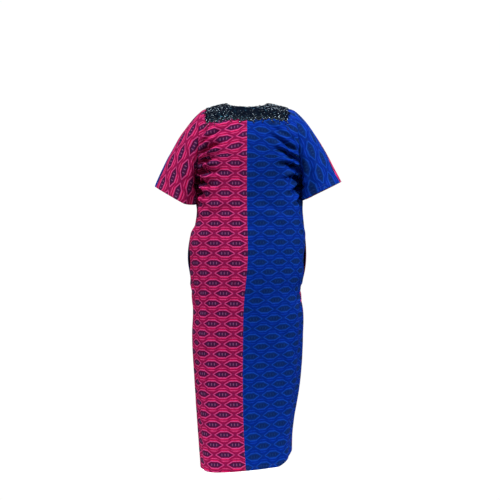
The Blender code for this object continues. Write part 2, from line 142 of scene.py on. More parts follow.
def waxCotton(name, colours):
    material, tree, surface = newMaterial(name)
    p = waxPrint
    uv = addNode(tree, "ShaderNodeUVMap", {"uv_map": "cloth"})
    smear = addNode(tree, "ShaderNodeTexNoise", inputs={
        "Vector": uv, "Scale": 220.0, "Detail": 2.0, "Roughness": 0.6})
    smear = addNode(tree, "ShaderNodeVectorMath", "SUBTRACT", (smear.outputs["Color"], (0.5, 0.5, 0.5)))
    bleed = (p["bleed"] * 2, p["bleed"] * 2, 0)
    place = addNode(tree, "ShaderNodeVectorMath", "MULTIPLY_ADD", (smear, bleed, uv))
    place = addNode(tree, "ShaderNodeSeparateXYZ", inputs=(place,))

    # distances from the nearest lozenge of each of the two half-drop sets
    halfLong, halfShort = p["repeatLong"] / 2, p["repeatShort"] / 2
    longA = addNode(tree, "ShaderNodeMath", "PINGPONG", (place.outputs["X"], halfLong))
    shortA = addNode(tree, "ShaderNodeMath", "PINGPONG", (place.outputs["Y"], halfShort))
    longB = addNode(tree, "ShaderNodeMath", "SUBTRACT", (halfLong, longA))
    shortB = addNode(tree, "ShaderNodeMath", "SUBTRACT", (halfShort, shortA))

    rings, dots, knots = [], [], []
    for long, short, otherLong in ((longA, shortA, longB), (longB, shortB, longA)):
        past = addNode(tree, "ShaderNodeMath", "SUBTRACT", (long, p["flatHalf"]))
        past = addNode(tree, "ShaderNodeMath", "MAXIMUM", (past, 0.0))
        rings.append(addNode(tree, "ShaderNodeMath", "MULTIPLY_ADD", (past, p["slope"], short)))
        nearDot = addNode(tree, "ShaderNodeMath", "PINGPONG", (long, p["dotPitch"] / 2))
        spot = addNode(tree, "ShaderNodeCombineXYZ", inputs=(nearDot, short))
        spot = addNode(tree, "ShaderNodeVectorMath", "DIVIDE", (spot, (*p["dotHalf"], 1)))
        spot = addNode(tree, "ShaderNodeVectorMath", "LENGTH", (spot,)).outputs["Value"]
        outside = addNode(tree, "ShaderNodeMath", "GREATER_THAN", (long, p["dotPitch"] * 1.5))
        dots.append(addNode(tree, "ShaderNodeMath", "MULTIPLY_ADD", (outside, 9.0, spot)))
        knotLong, knotShort = p["knotHalf"]
        across = addNode(tree, "ShaderNodeMath", "DIVIDE", (short, knotShort))
        knots.append(addNode(tree, "ShaderNodeMath", "MULTIPLY_ADD", (otherLong, 1 / knotLong, across)))
    ring, dot, knot = (addNode(tree, "ShaderNodeMath", "MINIMUM", pair) for pair in (rings, dots, knots))
    nearer = addNode(tree, "ShaderNodeMath", "LESS_THAN", rings)
    long = addNode(tree, "ShaderNodeMix", inputs={"Factor": nearer, 2: longB, 3: longA})

    share = addNode(tree, "ShaderNodeMath", "DIVIDE", (ring, p["bandReach"]))
    bands = addNode(tree, "ShaderNodeValToRGB", inputs=(share,))
    setRamp(bands, [(at / 1000 / p["bandReach"], colours[band]) for band, start, end in printBands
                    for at in (start, end)])

    # past the outline the bars only run along the straight sides
    pastOutline = addNode(tree, "ShaderNodeMapRange", inputs={
        "Value": ring, "From Min": p["outlineEnds"][0], "From Max": p["outlineEnds"][1]})
    pastFlat = addNode(tree, "ShaderNodeMapRange", {"interpolation_type": "SMOOTHSTEP"}, {
        "Value": long, "From Min": p["flatHalf"] * 0.8, "From Max": p["flatHalf"] * 1.6, "To Max": 0.85})
    plain = addNode(tree, "ShaderNodeMath", "MULTIPLY", (pastOutline, pastFlat))
    knotted = addNode(tree, "ShaderNodeMapRange", {"interpolation_type": "SMOOTHSTEP"}, {
        "Value": knot, "From Min": 1.1, "From Max": 0.5, "To Max": 0.8})
    dotted = addNode(tree, "ShaderNodeMapRange", {"interpolation_type": "SMOOTHSTEP"}, {
        "Value": dot, "From Min": 1.25, "From Max": 0.7})
    veins = addNode(tree, "ShaderNodeTexVoronoi", {"feature": "DISTANCE_TO_EDGE"}, {
        "Vector": uv, "Scale": p["crackleScale"]})
    veined = addNode(tree, "ShaderNodeMapRange", inputs={
        "Value": veins, "From Min": 0.035, "From Max": 0.0, "To Max": 0.4})
    colour = bands.outputs[0]
    for shows, part in ((plain, "line"), (knotted, "knot"), (dotted, "dots"), (veined, "crackle")):
        colour = addNode(tree, "ShaderNodeMix", {"data_type": "RGBA"}, {
            "Factor": shows, 6: colour, 7: srgb(colours[part])}).outputs[2]
    # dye that took unevenly
    dye = addNode(tree, "ShaderNodeTexNoise", inputs={
        "Vector": uv, "Scale": p["dyeScale"], "Detail": 4.0, "Roughness": 0.65})
    dye = addNode(tree, "ShaderNodeMapRange", inputs={
        "Value": dye, "From Min": 0.25, "From Max": 0.75, "To Min": 0.84, "To Max": 1.12})
    colour = addNode(tree, "ShaderNodeHueSaturation", inputs={"Value": dye, "Color": colour})

    # plain weave, as two sets of threads
    strands = []
    for axis in ("X", "Y"):
        phase = addNode(tree, "ShaderNodeMath", "MULTIPLY", (
            place.outputs[axis], 2 * math.pi / p["threadPitch"]))
        strands.append(addNode(tree, "ShaderNodeMath", "SINE", (phase,)))
    weave = addNode(tree, "ShaderNodeMath", "MULTIPLY", strands)
    slubs = addNode(tree, "ShaderNodeTexNoise", inputs={"Vector": uv, "Scale": p["slubScale"], "Detail": 3.0})
    relief = addNode(tree, "ShaderNodeMath", "MULTIPLY_ADD", (weave, 0.35, slubs))
    bump = addNode(tree, "ShaderNodeBump", inputs={"Height": relief, "Strength": 0.28, "Distance": 0.0004})
    worn = addNode(tree, "ShaderNodeMapRange", inputs={
        "Value": slubs, "From Min": 0.3, "From Max": 0.7, "To Min": 0.72, "To Max": 0.86})
    feed(tree, surface, {
        "Base Color": colour, "Normal": bump, "Roughness": worn, "IOR": 1.5, "Specular IOR Level": 0.02})
    return material


cottons = {
    "rose": waxCotton("rose wax cotton", roseCloth),
    "blue": waxCotton("royal blue wax cotton", blueCloth),
}


def sewingThread(name, code):
    # spun polyester, slightly shiny, with a twist too fine to draw
    material, tree, surface = newMaterial(name)
    place = addNode(tree, "ShaderNodeTexCoord").outputs["Object"]
    fuzz = addNode(tree, "ShaderNodeTexNoise", inputs={"Vector": place, "Scale": 2500.0})
    bump = addNode(tree, "ShaderNodeBump", inputs={"Height": fuzz, "Strength": 0.4, "Distance": 0.0001})
    feed(tree, surface, {"Base Color": srgb(code), "Normal": bump, "Roughness": 0.5})
    return material


def cordedLace(name):
    # black guipure: matt cotton cord worked into petals on a net
    material, tree, surface = newMaterial(name)
    place = addNode(tree, "ShaderNodeTexCoord").outputs["Object"]
    cords = addNode(tree, "ShaderNodeTexVoronoi", {"feature": "F1"}, {"Vector": place, "Scale": 520.0})
    strands = addNode(tree, "ShaderNodeTexNoise", inputs={"Vector": place, "Scale": 900.0, "Detail": 3.0})
    tint = addNode(tree, "ShaderNodeValToRGB", inputs={0: strands})
    setRamp(tint, [(0.3, "#04070F"), (0.7, "#0D1422")])
    bump = addNode(tree, "ShaderNodeBump", inputs={"Height": cords, "Strength": 0.9, "Distance": 0.0009})
    feed(tree, surface, {"Base Color": tint, "Normal": bump, "Roughness": 0.9, "Specular IOR Level": 0.0})
    return material


def glassBead(name, code, metallic, roughness, lustre):
    # pressed glass with a lustre coat, so each one gives a small bright glint
    material, tree, surface = newMaterial(name)
    place = addNode(tree, "ShaderNodeTexCoord").outputs["Object"]
    mottle = addNode(tree, "ShaderNodeTexNoise", inputs={"Vector": place, "Scale": 300.0})
    shade = addNode(tree, "ShaderNodeMapRange", inputs={"Value": mottle, "To Min": 0.6, "To Max": 1.4})
    tint = addNode(tree, "ShaderNodeHueSaturation", inputs={"Value": shade, "Color": srgb(code)})
    feed(tree, surface, {"Base Color": tint, "Metallic": metallic, "Roughness": roughness,
                         "Coat Weight": lustre, "Specular IOR Level": 0.2})
    return material


blackLace = cordedLace("black corded lace")
jetBead = glassBead("jet glass beads", "#060A13", 0.0, 0.2, 0.03)
steelBead = glassBead("steel lustre beads", "#8797A4", 0.85, 0.22, 0.4)
tealSequin = glassBead("teal sequins", "#1C4C60", 0.75, 0.25, 0.3)
threads = {
    "rose": sewingThread("rose thread", "#8E0A48"),
    "blue": sewingThread("blue thread", "#0A2C9A"),
}
print("materials made")


# The form of the body and the sleeves, in level sections and runs of cloth between them
underarmHeight, shoulderTipHeight = -0.305, -0.023
mouthBottom, mouthTop = -0.700, -0.530
yokeParts = 12      # the pockets and the lace count in twelfths too

Section = namedtuple("Section", "height left right back front square seam")
trunk = [Section(*row) for row in (
    (-1.444, 0.185, 0.180, 0.148, 0.186, 0.84, 0.004),
    (-1.382, 0.190, 0.182, 0.150, 0.183, 0.84, 0.008),
    (-1.298, 0.196, 0.190, 0.153, 0.180, 0.83, 0.012),
    (-1.190, 0.204, 0.205, 0.157, 0.176, 0.82, 0.015),
    (-1.070, 0.212, 0.217, 0.160, 0.173, 0.80, 0.016),
    (-0.926, 0.219, 0.224, 0.164, 0.170, 0.78, 0.015),
    (-0.820, 0.216, 0.223, 0.167, 0.170, 0.76, 0.013),
    (-0.745, 0.220, 0.212, 0.168, 0.170, 0.75, 0.008),
    (-0.680, 0.227, 0.227, 0.168, 0.170, 0.74, 0.001),
    (-0.610, 0.231, 0.231, 0.166, 0.169, 0.74, -0.003),
    (-0.545, 0.229, 0.233, 0.161, 0.166, 0.76, -0.003),
    (-0.470, 0.205, 0.226, 0.153, 0.164, 0.80, -0.001),
    (-0.390, 0.201, 0.220, 0.147, 0.166, 0.84, 0.000),
    (-0.305, 0.203, 0.213, 0.146, 0.168, 0.85, 0.000),
)]
sideLean = {left: 0.03, right: 0.10}
sideSeamDepth = 0.005

HemLine = namedtuple("HemLine", "across lift")
hemLine = (
    HemLine(-0.176, 0.060),
    HemLine(-0.156, 0.042),
    HemLine(-0.130, 0.026),
    HemLine(-0.086, 0.019),
    HemLine(0.000, 0.010),
    HemLine(0.085, 0.003),
    HemLine(0.185, -0.002),
)
liftStarts = -0.95

Armhole = namedtuple("Armhole", "share left right")
armhole = (
    Armhole(0.00, 0.203, 0.213),
    Armhole(0.17, 0.200, 0.211),
    Armhole(0.33, 0.192, 0.206),
    Armhole(0.50, 0.189, 0.202),
    Armhole(0.67, 0.186, 0.196),
    Armhole(0.83, 0.180, 0.189),
    Armhole(1.00, 0.172, 0.179),
)
armholeDepth = {back: 0.104, front: 0.100}

Middle = namedtuple("Middle", "height depth")
middles = {
    back: (Middle(-0.305, 0.146), Middle(-0.200, 0.143), Middle(-0.120, 0.129),
           Middle(-0.060, 0.104), Middle(-0.022, 0.080)),
    front: (Middle(-0.305, 0.168), Middle(-0.220, 0.158), Middle(-0.150, 0.136),
            Middle(-0.088, 0.104)),
}
neckRow = {back: 8, front: 7}
neckSide = np.array((0.078, 0.002, 0.003))

Reach = namedtuple("Reach", "share inner outer")
reaches = (
    Reach(0.0, 0.850, 0.490),
    Reach(0.3, 0.700, 0.400),
    Reach(0.6, 0.480, 0.340),
    Reach(1.0, 0.333, 0.333),
)
shoulderFall, fallEnds = 0.35, 0.35

Fold = namedtuple("Fold", "turn width depth top bottom drift")
folds = [Fold(*row) for row in (
    (0.84, 0.085, -0.014, -0.13, -0.52, 0.00),
    (3.16, 0.085, -0.014, -0.13, -0.52, 0.00),
    (0.70, 0.080, -0.006, -0.74, -1.60, 0.05),
    (0.40, 0.110, 0.004, -0.62, -1.60, -0.04),
    (1.22, 0.090, -0.012, -0.84, -1.60, -0.03),
    (1.52, 0.110, 0.010, -0.48, -1.60, 0.05),
    (1.80, 0.090, -0.012, -0.30, -1.60, -0.04),
    (2.18, 0.090, -0.012, -0.30, -1.60, 0.05),
    (2.50, 0.110, 0.011, -0.52, -1.60, -0.03),
    (2.80, 0.090, -0.014, -0.84, -1.60, 0.02),
    (3.20, 0.080, -0.008, -0.66, -1.60, 0.04),
    (3.52, 0.110, 0.004, -0.80, -1.60, 0.03),
)]
foldFade = 0.16
mouthGape = {back: (-0.007, 0.011), front: (0.006, -0.009)}
gapeReach = 5

Cuff = namedtuple("Cuff", "middle outer back lift")
cuffs = {
    left: Cuff((0.285, 0.006, -0.374), (0.078, 0.004, 0.042), (-0.036, 0.090, -0.026), 0.028),
    right: Cuff((0.298, 0.006, -0.348), (0.073, 0.004, 0.036), (-0.036, 0.090, -0.018), 0.000),
}
cuffWaves, cuffWaveDepth, cuffLiftPower = 5, 0.004, 1.3

Heading = namedtuple("Heading", "share out away down reach endOut endDown endReach")
headings = {side: [Heading(*row) for row in rows] for side, rows in {
    left: (
        (0.00, 0.84, 0.00, -0.54, 0.060, 0.02, -1.00, 0.085),
        (0.25, 0.66, 0.20, -0.72, 0.110, 0.10, -0.99, 0.140),
        (0.50, 0.52, 0.16, -0.84, 0.210, 0.24, -0.97, 0.220),
        (0.75, 0.70, 0.08, -0.71, 0.300, 0.32, -0.95, 0.300),
        (1.00, 0.80, 0.00, -0.60, 0.365, 0.37, -0.93, 0.365),
    ),
    right: (
        (0.00, 0.86, 0.00, -0.51, 0.055, 0.06, -1.00, 0.070),
        (0.25, 0.66, 0.20, -0.72, 0.105, 0.16, -0.98, 0.120),
        (0.50, 0.54, 0.16, -0.83, 0.210, 0.32, -0.94, 0.200),
        (0.75, 0.76, 0.08, -0.65, 0.280, 0.42, -0.91, 0.260),
        (1.00, 0.87, 0.00, -0.49, 0.310, 0.48, -0.88, 0.300),
    ),
}.items()}


def follow(table, place):
    # every column but the first, as a smooth curve through the table's rows
    rows = np.array(table, float)
    places = rows[:, 0]
    slopes = np.gradient(rows, places, axis=0)
    place = np.clip(np.asarray(place, float), places[0], places[-1])
    i = np.clip(np.searchsorted(places, place) - 1, 0, len(places) - 2)
    step = (places[i + 1] - places[i])[..., None]
    s = (place - places[i])[..., None] / step
    value = ((1 + 2 * s) * (1 - s) ** 2 * rows[i] + s * s * (3 - 2 * s) * rows[i + 1]
             + step * s * (1 - s) ** 2 * slopes[i] - step * s * s * (1 - s) * slopes[i + 1])
    return value[..., 1:]


def smooth(value):
    value = np.clip(value, 0, 1)
    return value * value * (3 - 2 * value)


def unit(vectors):
    return vectors / np.maximum(np.linalg.norm(vectors, axis=-1, keepdims=True), 1e-9)


def mouthShare(height):
    share = np.clip((height - mouthBottom) / (mouthTop - mouthBottom), 0, 1)
    return np.sin(np.pi * share) ** 2


def foldDepth(turn, height):
    total = np.zeros_like(height)
    for fold in folds:
        fall = (fold.top - height) / (fold.top - fold.bottom)
        strength = smooth((fold.top - height) / foldFade) * smooth((height - fold.bottom) / foldFade)
        away = np.abs((turn - fold.turn - fold.drift * fall + 2) % 4 - 2)
        total += fold.depth * strength * np.exp(-((away / fold.width) ** 2))
    return total


def turnOf(side, face, share):
    # quarters round from the middle of the back, towards the wearer's left
    turn = share if face == back else 2 - share
    return turn if side == left else 4 - turn


def skirtFrame(side, face, height):
    wideLeft, wideRight, deepBack, deepFront, square, seam = follow(trunk, height)
    wide = side * (wideLeft if side == left else wideRight)
    deep = face * (deepBack if face == back else deepFront)
    inner = np.array((seam if face == back else 0.0, deep, height))
    outer = np.array((wide, sideSeamDepth, height))
    along = square * (outer[0] - inner[0])
    across = square * (inner[1] - outer[1])
    lean = -side * face * sideLean[side] * abs(across)
    return inner, inner + (along, 0, 0), outer + (lean, across, 0), outer


def innerEnd(side, face, share):
    table = middles[face]
    turning = neckRow[face] / yokeParts
    if share <= turning:
        height = table[0].height + (table[-1].height - table[0].height) * share / turning
        return np.array((0, face * follow(table, height)[0], height))
    angle = math.pi / 2 * (share - turning) / (1 - turning)
    top, deep = table[-1].height, face * table[-1].depth
    return np.array((
        side * neckSide[0] * math.sin(angle),
        neckSide[1] + (deep - neckSide[1]) * math.cos(angle),
        top + (neckSide[2] - top) * (1 - math.cos(angle)),
    ))


def outerEnd(side, face, share):
    angle = math.pi * (share - 0.5)
    wide = follow(armhole, share)[0 if side == left else 1]
    middle = (shoulderTipHeight + underarmHeight) / 2
    half = (shoulderTipHeight - underarmHeight) / 2
    return np.array((
        side * wide,
        sideSeamDepth + face * armholeDepth[face] * math.cos(angle),
        middle + half * math.sin(angle),
    ))


def yokeFrame(side, face, share):
    inner, outer = innerEnd(side, face, share), outerEnd(side, face, share)
    innerReach, outerReach = follow(reaches, share)
    along = innerReach * (outer[0] - inner[0])
    across = outerReach * np.linalg.norm(outer - inner)
    turned = math.pi / 2 * (1 - share)
    lean = -side * face * sideLean[side] * across * (1 - share) ** 2
    rise = shoulderFall * (inner[2] - outer[2]) * smooth(share / fallEnds)
    steer = (lean - side * across * math.cos(turned), face * across * math.sin(turned), rise)
    return inner, inner + (along, 0, 0), outer + steer, outer


def bezierRow(points, s):
    a, b, c, d = points
    s = s[:, None]
    return (1 - s) ** 3 * a + 3 * (1 - s) ** 2 * s * b + 3 * (1 - s) * s * s * c + s ** 3 * d


def clothRow(points, side, face, s):
    a, b, c, d = points
    row = bezierRow(points, s)
    t = s[:, None]
    ahead = (1 - t) ** 2 * (b - a) + 2 * (1 - t) * t * (c - b) + t * t * (d - c)
    outwards = side * face * unit(np.stack((-ahead[:, 1], ahead[:, 0], 0 * s), axis=1))
    height = row[:, 2].copy()
    row += outwards * foldDepth(turnOf(side, face, s), height)[:, None]
    wide, deep = mouthGape[face]
    row += np.array((side * wide, deep, 0)) * (mouthShare(height) * s ** gapeReach)[:, None]
    low = smooth((liftStarts - height) / (liftStarts - trunk[0].height))
    row[:, 2] += follow(hemLine, row[:, 0])[:, 0] * low
    return row


# columns stand closer beside a seam, so that it can dip, and rows beside the hem
fineGrid = {
    "skirtRows": 200, "yokeRows": 84, "sleeveRows": 52, "columns": 64,
    "seamSteps": np.array((0.0, 0.005, 0.012, 0.022)), "seamReach": 0.035,
    "hemSteps": np.array((0.0, 0.0015, 0.004)), "hemReach": 0.008,
}
shares = np.concatenate((
    fineGrid["seamSteps"],
    np.linspace(fineGrid["seamReach"], 1 - fineGrid["seamReach"], fineGrid["columns"]),
    1 - fineGrid["seamSteps"][::-1],
))
sleeveShares = np.linspace(0, 1, fineGrid["sleeveRows"] + 1)
skirtHeights = np.concatenate((
    trunk[0].height + fineGrid["hemSteps"],
    np.linspace(trunk[0].height + fineGrid["hemReach"], underarmHeight, fineGrid["skirtRows"]),
))
yokeShares = np.linspace(0, 1, fineGrid["yokeRows"] + 1)[1:]


def panelGrid(side, face):
    rows = [clothRow(skirtFrame(side, face, h), side, face, shares) for h in skirtHeights]
    rows += [clothRow(yokeFrame(side, face, s), side, face, shares) for s in yokeShares]
    return np.array(rows)


def cuffPoint(side, face, share):
    # round the cuff's ring from the underarm seam to the overarm seam
    angle = math.pi * (share - 0.5)
    cuff = cuffs[side]
    outer, away = np.array(cuff.outer), face * np.array(cuff.back)
    swell = 1 + cuffWaveDepth / abs(cuff.back[1]) * math.sin(
        cuffWaves * (angle if face == back else math.pi - angle) + side)
    point = np.array(cuff.middle) + outer * math.sin(angle) + away * math.cos(angle) * swell
    point[2] += cuff.lift * max(0, -math.sin(angle)) ** cuffLiftPower
    return point * (side, 1, 1)


def sleeveGrid(side, face, edge):
    # columns run from the underarm to the overarm seam, rows from the armhole to the cuff
    columns = []
    for i, start in enumerate(edge):
        share = i / (len(edge) - 1)
        out, away, down, reach, endOut, endDown, endReach = follow(headings[side], share)
        leave = np.array((side * out, face * away, down)) * reach
        arrive = np.array((side * endOut, 0, endDown)) * endReach
        end = cuffPoint(side, face, share)
        columns.append(bezierRow((start, start + leave / 3, end - arrive / 3, end), sleeveShares))
    return np.array(columns).swapaxes(0, 1)


def gridNormals(grid, sign):
    along, up = np.gradient(grid, axis=1), np.gradient(grid, axis=0)
    return unit(np.cross(up, along) * sign)


def shareNormals(grids, signs):
    # pieces that meet at a seam get the same normal there
    normals = {name: gridNormals(grid, signs[name]) for name, grid in grids.items()}
    meeting = {}
    for name, grid in grids.items():
        rows, along = grid.shape[:2]
        border = {(r, c) for r in range(rows) for c in (0, along - 1)}
        border |= {(r, c) for r in (0, rows - 1) for c in range(along)}
        for spot in border:
            meeting.setdefault(tuple(np.round(grid[spot], 6)), []).append((name, spot))
    for spots in meeting.values():
        if len(spots) > 1:
            middle = unit(sum(normals[name][spot] for name, spot in spots))
            for name, spot in spots:
                normals[name][spot] = middle
    return normals


def gridQuads(index):
    return np.stack((index[:-1, :-1], index[:-1, 1:], index[1:, 1:], index[1:, :-1]), axis=-1).reshape(-1, 4)


def unrolled(grid):
    # a first flat form in metres, from Blender's own unwrapping
    rows, along = grid.shape[:2]
    quads = gridQuads(np.arange(rows * along).reshape(rows, along))
    mesh = newMesh("pattern", grid.reshape(-1, 3), quads.tolist())
    mesh.uv_layers.new(name="flat")
    pattern = newObject("pattern", mesh)
    bpy.context.view_layer.objects.active = pattern
    pattern.select_set(True)
    bpy.ops.object.mode_set(mode="EDIT")
    bpy.ops.mesh.select_all(action="SELECT")
    bpy.ops.uv.unwrap(method="ANGLE_BASED", correct_aspect=False, margin=0.0)
    bpy.ops.object.mode_set(mode="OBJECT")
    spots = np.zeros(len(mesh.loops) * 2)
    mesh.uv_layers["flat"].data.foreach_get("uv", spots)
    flat = np.zeros((rows * along, 2))
    flat[quads.reshape(-1)] = spots.reshape(-1, 2)
    area = sum(face.area for face in mesh.polygons)
    a, b, c, d = (flat[quads[:, k]] for k in range(4))
    flatArea = np.abs(np.cross(c - a, d - b)).sum() / 2
    bpy.data.objects.remove(pattern)
    bpy.data.meshes.remove(mesh)
    return flat.reshape(rows, along, 2) * math.sqrt(area / flatArea)


def upright(flat, start, end, aside):
    # turned so that start to end points up from the origin, and aside lies at positive u
    up = unit(end - start)
    across = np.array((up[1], -up[0]))
    if (aside - start) @ across < 0:
        across = -across
    return np.stack(((flat - start) @ across, (flat - start) @ up), axis=-1)


patternSteps = {"rows": 4, "columns": 3, "rounds": 900, "haste": 1.6}


def flattened(grid, flat, pinned):
    # lays the cloth flat without stretching it, as a paper pattern lies, round pinned points
    ties = []
    for rows, along in ((0, 1), (1, 0), (1, 1), (1, -1)):
        first = (slice(0, grid.shape[0] - rows), slice(max(-along, 0), grid.shape[1] - max(along, 0)))
        second = (slice(rows, None), slice(max(along, 0), grid.shape[1] + min(along, 0)))
        ties.append((first, second, np.linalg.norm(grid[second] - grid[first], axis=-1)))
    flat = flat.copy()
    for _ in range(patternSteps["rounds"]):
        move, count = np.zeros_like(flat), np.zeros(flat.shape[:2])
        for first, second, length in ties:
            gap = flat[second] - flat[first]
            now = np.maximum(np.linalg.norm(gap, axis=-1), 1e-6)
            pull = gap * ((now - length) / now / 2)[..., None]
            move[first] += pull
            move[second] -= pull
            count[first] += 1
            count[second] += 1
        move *= (patternSteps["haste"] / count)[..., None]
        move[pinned] = 0
        flat += move
    return flat


def patternOf(name, grid):
    # worked out on every few rows and columns, then read between them
    kind, side, face = name
    rows, columns = (np.unique(np.concatenate((np.arange(0, count, step), (count - 1,))))
                     for count, step in zip(grid.shape, (patternSteps["rows"], patternSteps["columns"])))
    coarse = grid[np.ix_(rows, columns)]
    flat = unrolled(coarse)
    pinned = np.zeros(coarse.shape[:2], bool)
    if kind == "panel":
        pinned[:, 0] = rows <= len(skirtHeights) - 1 + fineGrid["yokeRows"] * neckRow[face] // yokeParts
        flat = upright(flat, flat[0, 0], flat[pinned][-1], flat[0, -1])
        anchor = 0
    else:
        anchor = len(columns) // 2
        pinned[:, anchor] = True
        flat = upright(flat, flat[0, anchor], flat[-1, anchor], flat[len(rows) // 2, -1])
    climb = np.concatenate(((0,), np.cumsum(np.linalg.norm(np.diff(coarse[:, anchor], axis=0), axis=1))))
    straight = np.stack((0 * climb, climb), axis=-1) - flat[:, anchor]
    straight[~pinned[:, anchor]] = straight[pinned[:, anchor]][-1]
    flat = flattened(coarse, flat + straight[:, None], pinned)
    wide, high = np.arange(grid.shape[1]), np.arange(grid.shape[0])
    full = np.array([[np.interp(wide, columns, line) for line in flat[..., k]] for k in (0, 1)])
    full = np.array([[np.interp(high, rows, line) for line in layer.T] for layer in full])
    return full[0].T, full[1].T


grids, signs = {}, {}
for side, face in quarters:
    panel = panelGrid(side, face)
    grids["panel", side, face] = panel
    signs["panel", side, face] = side * face
    grids["sleeve", side, face] = sleeveGrid(side, face, panel[len(skirtHeights) - 1:, -1])
    signs["sleeve", side, face] = -side * face
flats = {name: patternOf(name, grid) for name, grid in grids.items()}
print("grids made")


# Creases, listed one by one. On the body, turn is in quarters round from the middle of the back and rise
# is the height up the cloth. A ridge has a positive depth and rolls over a little.
Crease = namedtuple("Crease", "turn rise toTurn toRise width depth bow")
bodyCreases = [Crease(*row) for row in (
    # across the left shoulder blade to the armpit
    (0.98, -0.150, 0.10, -0.070, 0.011, 0.0030, 0.010),
    (0.98, -0.184, 0.24, -0.130, 0.010, 0.0065, 0.008),
    (0.99, -0.214, 0.20, -0.184, 0.010, 0.0110, 0.004),
    (0.99, -0.244, 0.26, -0.240, 0.010, 0.0135, -0.003),
    (0.99, -0.275, 0.18, -0.296, 0.010, 0.0165, -0.006),
    (0.99, -0.312, 0.24, -0.350, 0.010, 0.0165, -0.008),
    (0.98, -0.350, 0.34, -0.400, 0.011, 0.0120, -0.008),
    (0.90, -0.395, 0.42, -0.440, 0.016, 0.0035, -0.012),
    (0.66, -0.170, 0.66, -0.420, 0.062, -0.0150, 0.000),
    (1.00, -0.270, 1.00, -0.430, 0.026, 0.0080, 0.000),
    (1.00, -0.304, 1.00, -0.364, 0.018, 0.0060, 0.000),
    # the right shoulder blade
    (3.02, -0.140, 3.80, -0.060, 0.012, 0.0030, 0.010),
    (3.02, -0.172, 3.80, -0.110, 0.011, 0.0060, 0.009),
    (3.01, -0.206, 3.74, -0.170, 0.010, 0.0110, 0.004),
    (3.01, -0.240, 3.72, -0.236, 0.010, 0.0145, -0.004),
    (3.01, -0.276, 3.70, -0.300, 0.010, 0.0150, -0.007),
    (3.01, -0.314, 3.64, -0.360, 0.011, 0.0135, -0.008),
    (3.02, -0.352, 3.52, -0.406, 0.012, 0.0090, -0.008),
    (3.34, -0.160, 3.34, -0.420, 0.060, -0.0150, 0.000),
    (3.00, -0.270, 3.00, -0.430, 0.026, 0.0070, 0.000),
    (3.00, -0.294, 3.00, -0.356, 0.018, 0.0050, 0.000),
    # pulls from the pocket mouths and the pinch below them
    (1.00, -0.705, 0.62, -0.765, 0.012, 0.0040, -0.006),
    (0.99, -0.745, 0.66, -0.835, 0.012, 0.0032, -0.008),
    (1.00, -0.520, 0.66, -0.470, 0.014, 0.0030, 0.006),
    (3.00, -0.735, 3.34, -0.775, 0.011, 0.0046, -0.004),
    (3.00, -0.760, 3.40, -0.850, 0.012, 0.0040, -0.008),
    (3.00, -0.715, 3.28, -0.690, 0.012, 0.0030, 0.005),
    (3.00, -0.520, 3.36, -0.455, 0.014, 0.0030, 0.006),
    # small of the back and seat
    (0.10, -0.400, 0.66, -0.455, 0.018, 0.0022, -0.010),
    (3.94, -0.420, 3.38, -0.480, 0.018, 0.0022, -0.010),
    (0.30, -0.930, 0.82, -1.040, 0.022, 0.0022, -0.012),
    (3.76, -0.900, 3.22, -1.060, 0.022, 0.0026, -0.012),
    (0.56, -1.080, 0.90, -1.270, 0.018, 0.0024, 0.010),
    (3.50, -1.120, 3.10, -1.300, 0.018, 0.0026, 0.010),
    # the front, much the same
    (1.06, -0.170, 1.56, -0.120, 0.013, 0.0042, 0.010),
    (1.05, -0.215, 1.60, -0.185, 0.012, 0.0050, 0.008),
    (1.04, -0.255, 1.52, -0.250, 0.012, 0.0045, -0.003),
    (1.04, -0.300, 1.58, -0.330, 0.014, 0.0036, -0.008),
    (2.94, -0.175, 2.44, -0.120, 0.013, 0.0042, 0.010),
    (2.95, -0.220, 2.42, -0.190, 0.012, 0.0050, 0.008),
    (2.96, -0.262, 2.50, -0.262, 0.012, 0.0045, -0.003),
    (2.96, -0.310, 2.40, -0.345, 0.014, 0.0036, -0.008),
    (1.02, -0.740, 1.42, -0.800, 0.013, 0.0036, -0.008),
    (2.98, -0.745, 2.60, -0.812, 0.013, 0.0040, -0.008),
    (1.04, -0.520, 1.46, -0.470, 0.015, 0.0030, 0.008),
    (2.96, -0.525, 2.58, -0.462, 0.015, 0.0030, 0.008),
    (1.40, -1.000, 1.72, -1.240, 0.020, 0.0026, 0.012),
    (2.62, -1.020, 2.30, -1.220, 0.020, 0.0026, 0.012),
)]
# On a sleeve, around runs from -1 at the underarm, over the front, to 0 on top and to 1 at the
# underarm again, and down is the share of its length.
sleeveCreases = {side: [Crease(*row) for row in rows] for side, rows in {
    left: (
        (0.96, 0.10, 0.62, 0.42, 0.010, 0.0040, 0.004),
        (0.90, 0.22, 0.52, 0.66, 0.011, 0.0034, 0.006),
        (0.74, 0.02, 0.42, 0.34, 0.010, 0.0030, -0.004),
        (0.30, 0.10, 0.34, 0.80, 0.016, 0.0020, 0.008),
        (-0.92, 0.12, -0.56, 0.50, 0.011, 0.0038, 0.005),
        (-0.70, 0.06, -0.40, 0.52, 0.012, 0.0028, -0.006),
        (1.00, 0.30, 1.00, 1.10, 0.022, 0.0100, 0.000),
    ),
    right: (
        (0.96, 0.12, 0.60, 0.46, 0.010, 0.0040, 0.004),
        (0.88, 0.28, 0.50, 0.76, 0.011, 0.0034, 0.006),
        (0.72, 0.04, 0.44, 0.30, 0.010, 0.0030, -0.004),
        (0.26, 0.16, 0.36, 0.88, 0.016, 0.0022, 0.008),
        (-0.92, 0.12, -0.58, 0.46, 0.011, 0.0038, 0.005),
        (-0.66, 0.08, -0.42, 0.60, 0.012, 0.0028, -0.006),
        (1.00, 0.30, 1.00, 1.10, 0.022, 0.0090, 0.000),
    ),
}.items()}
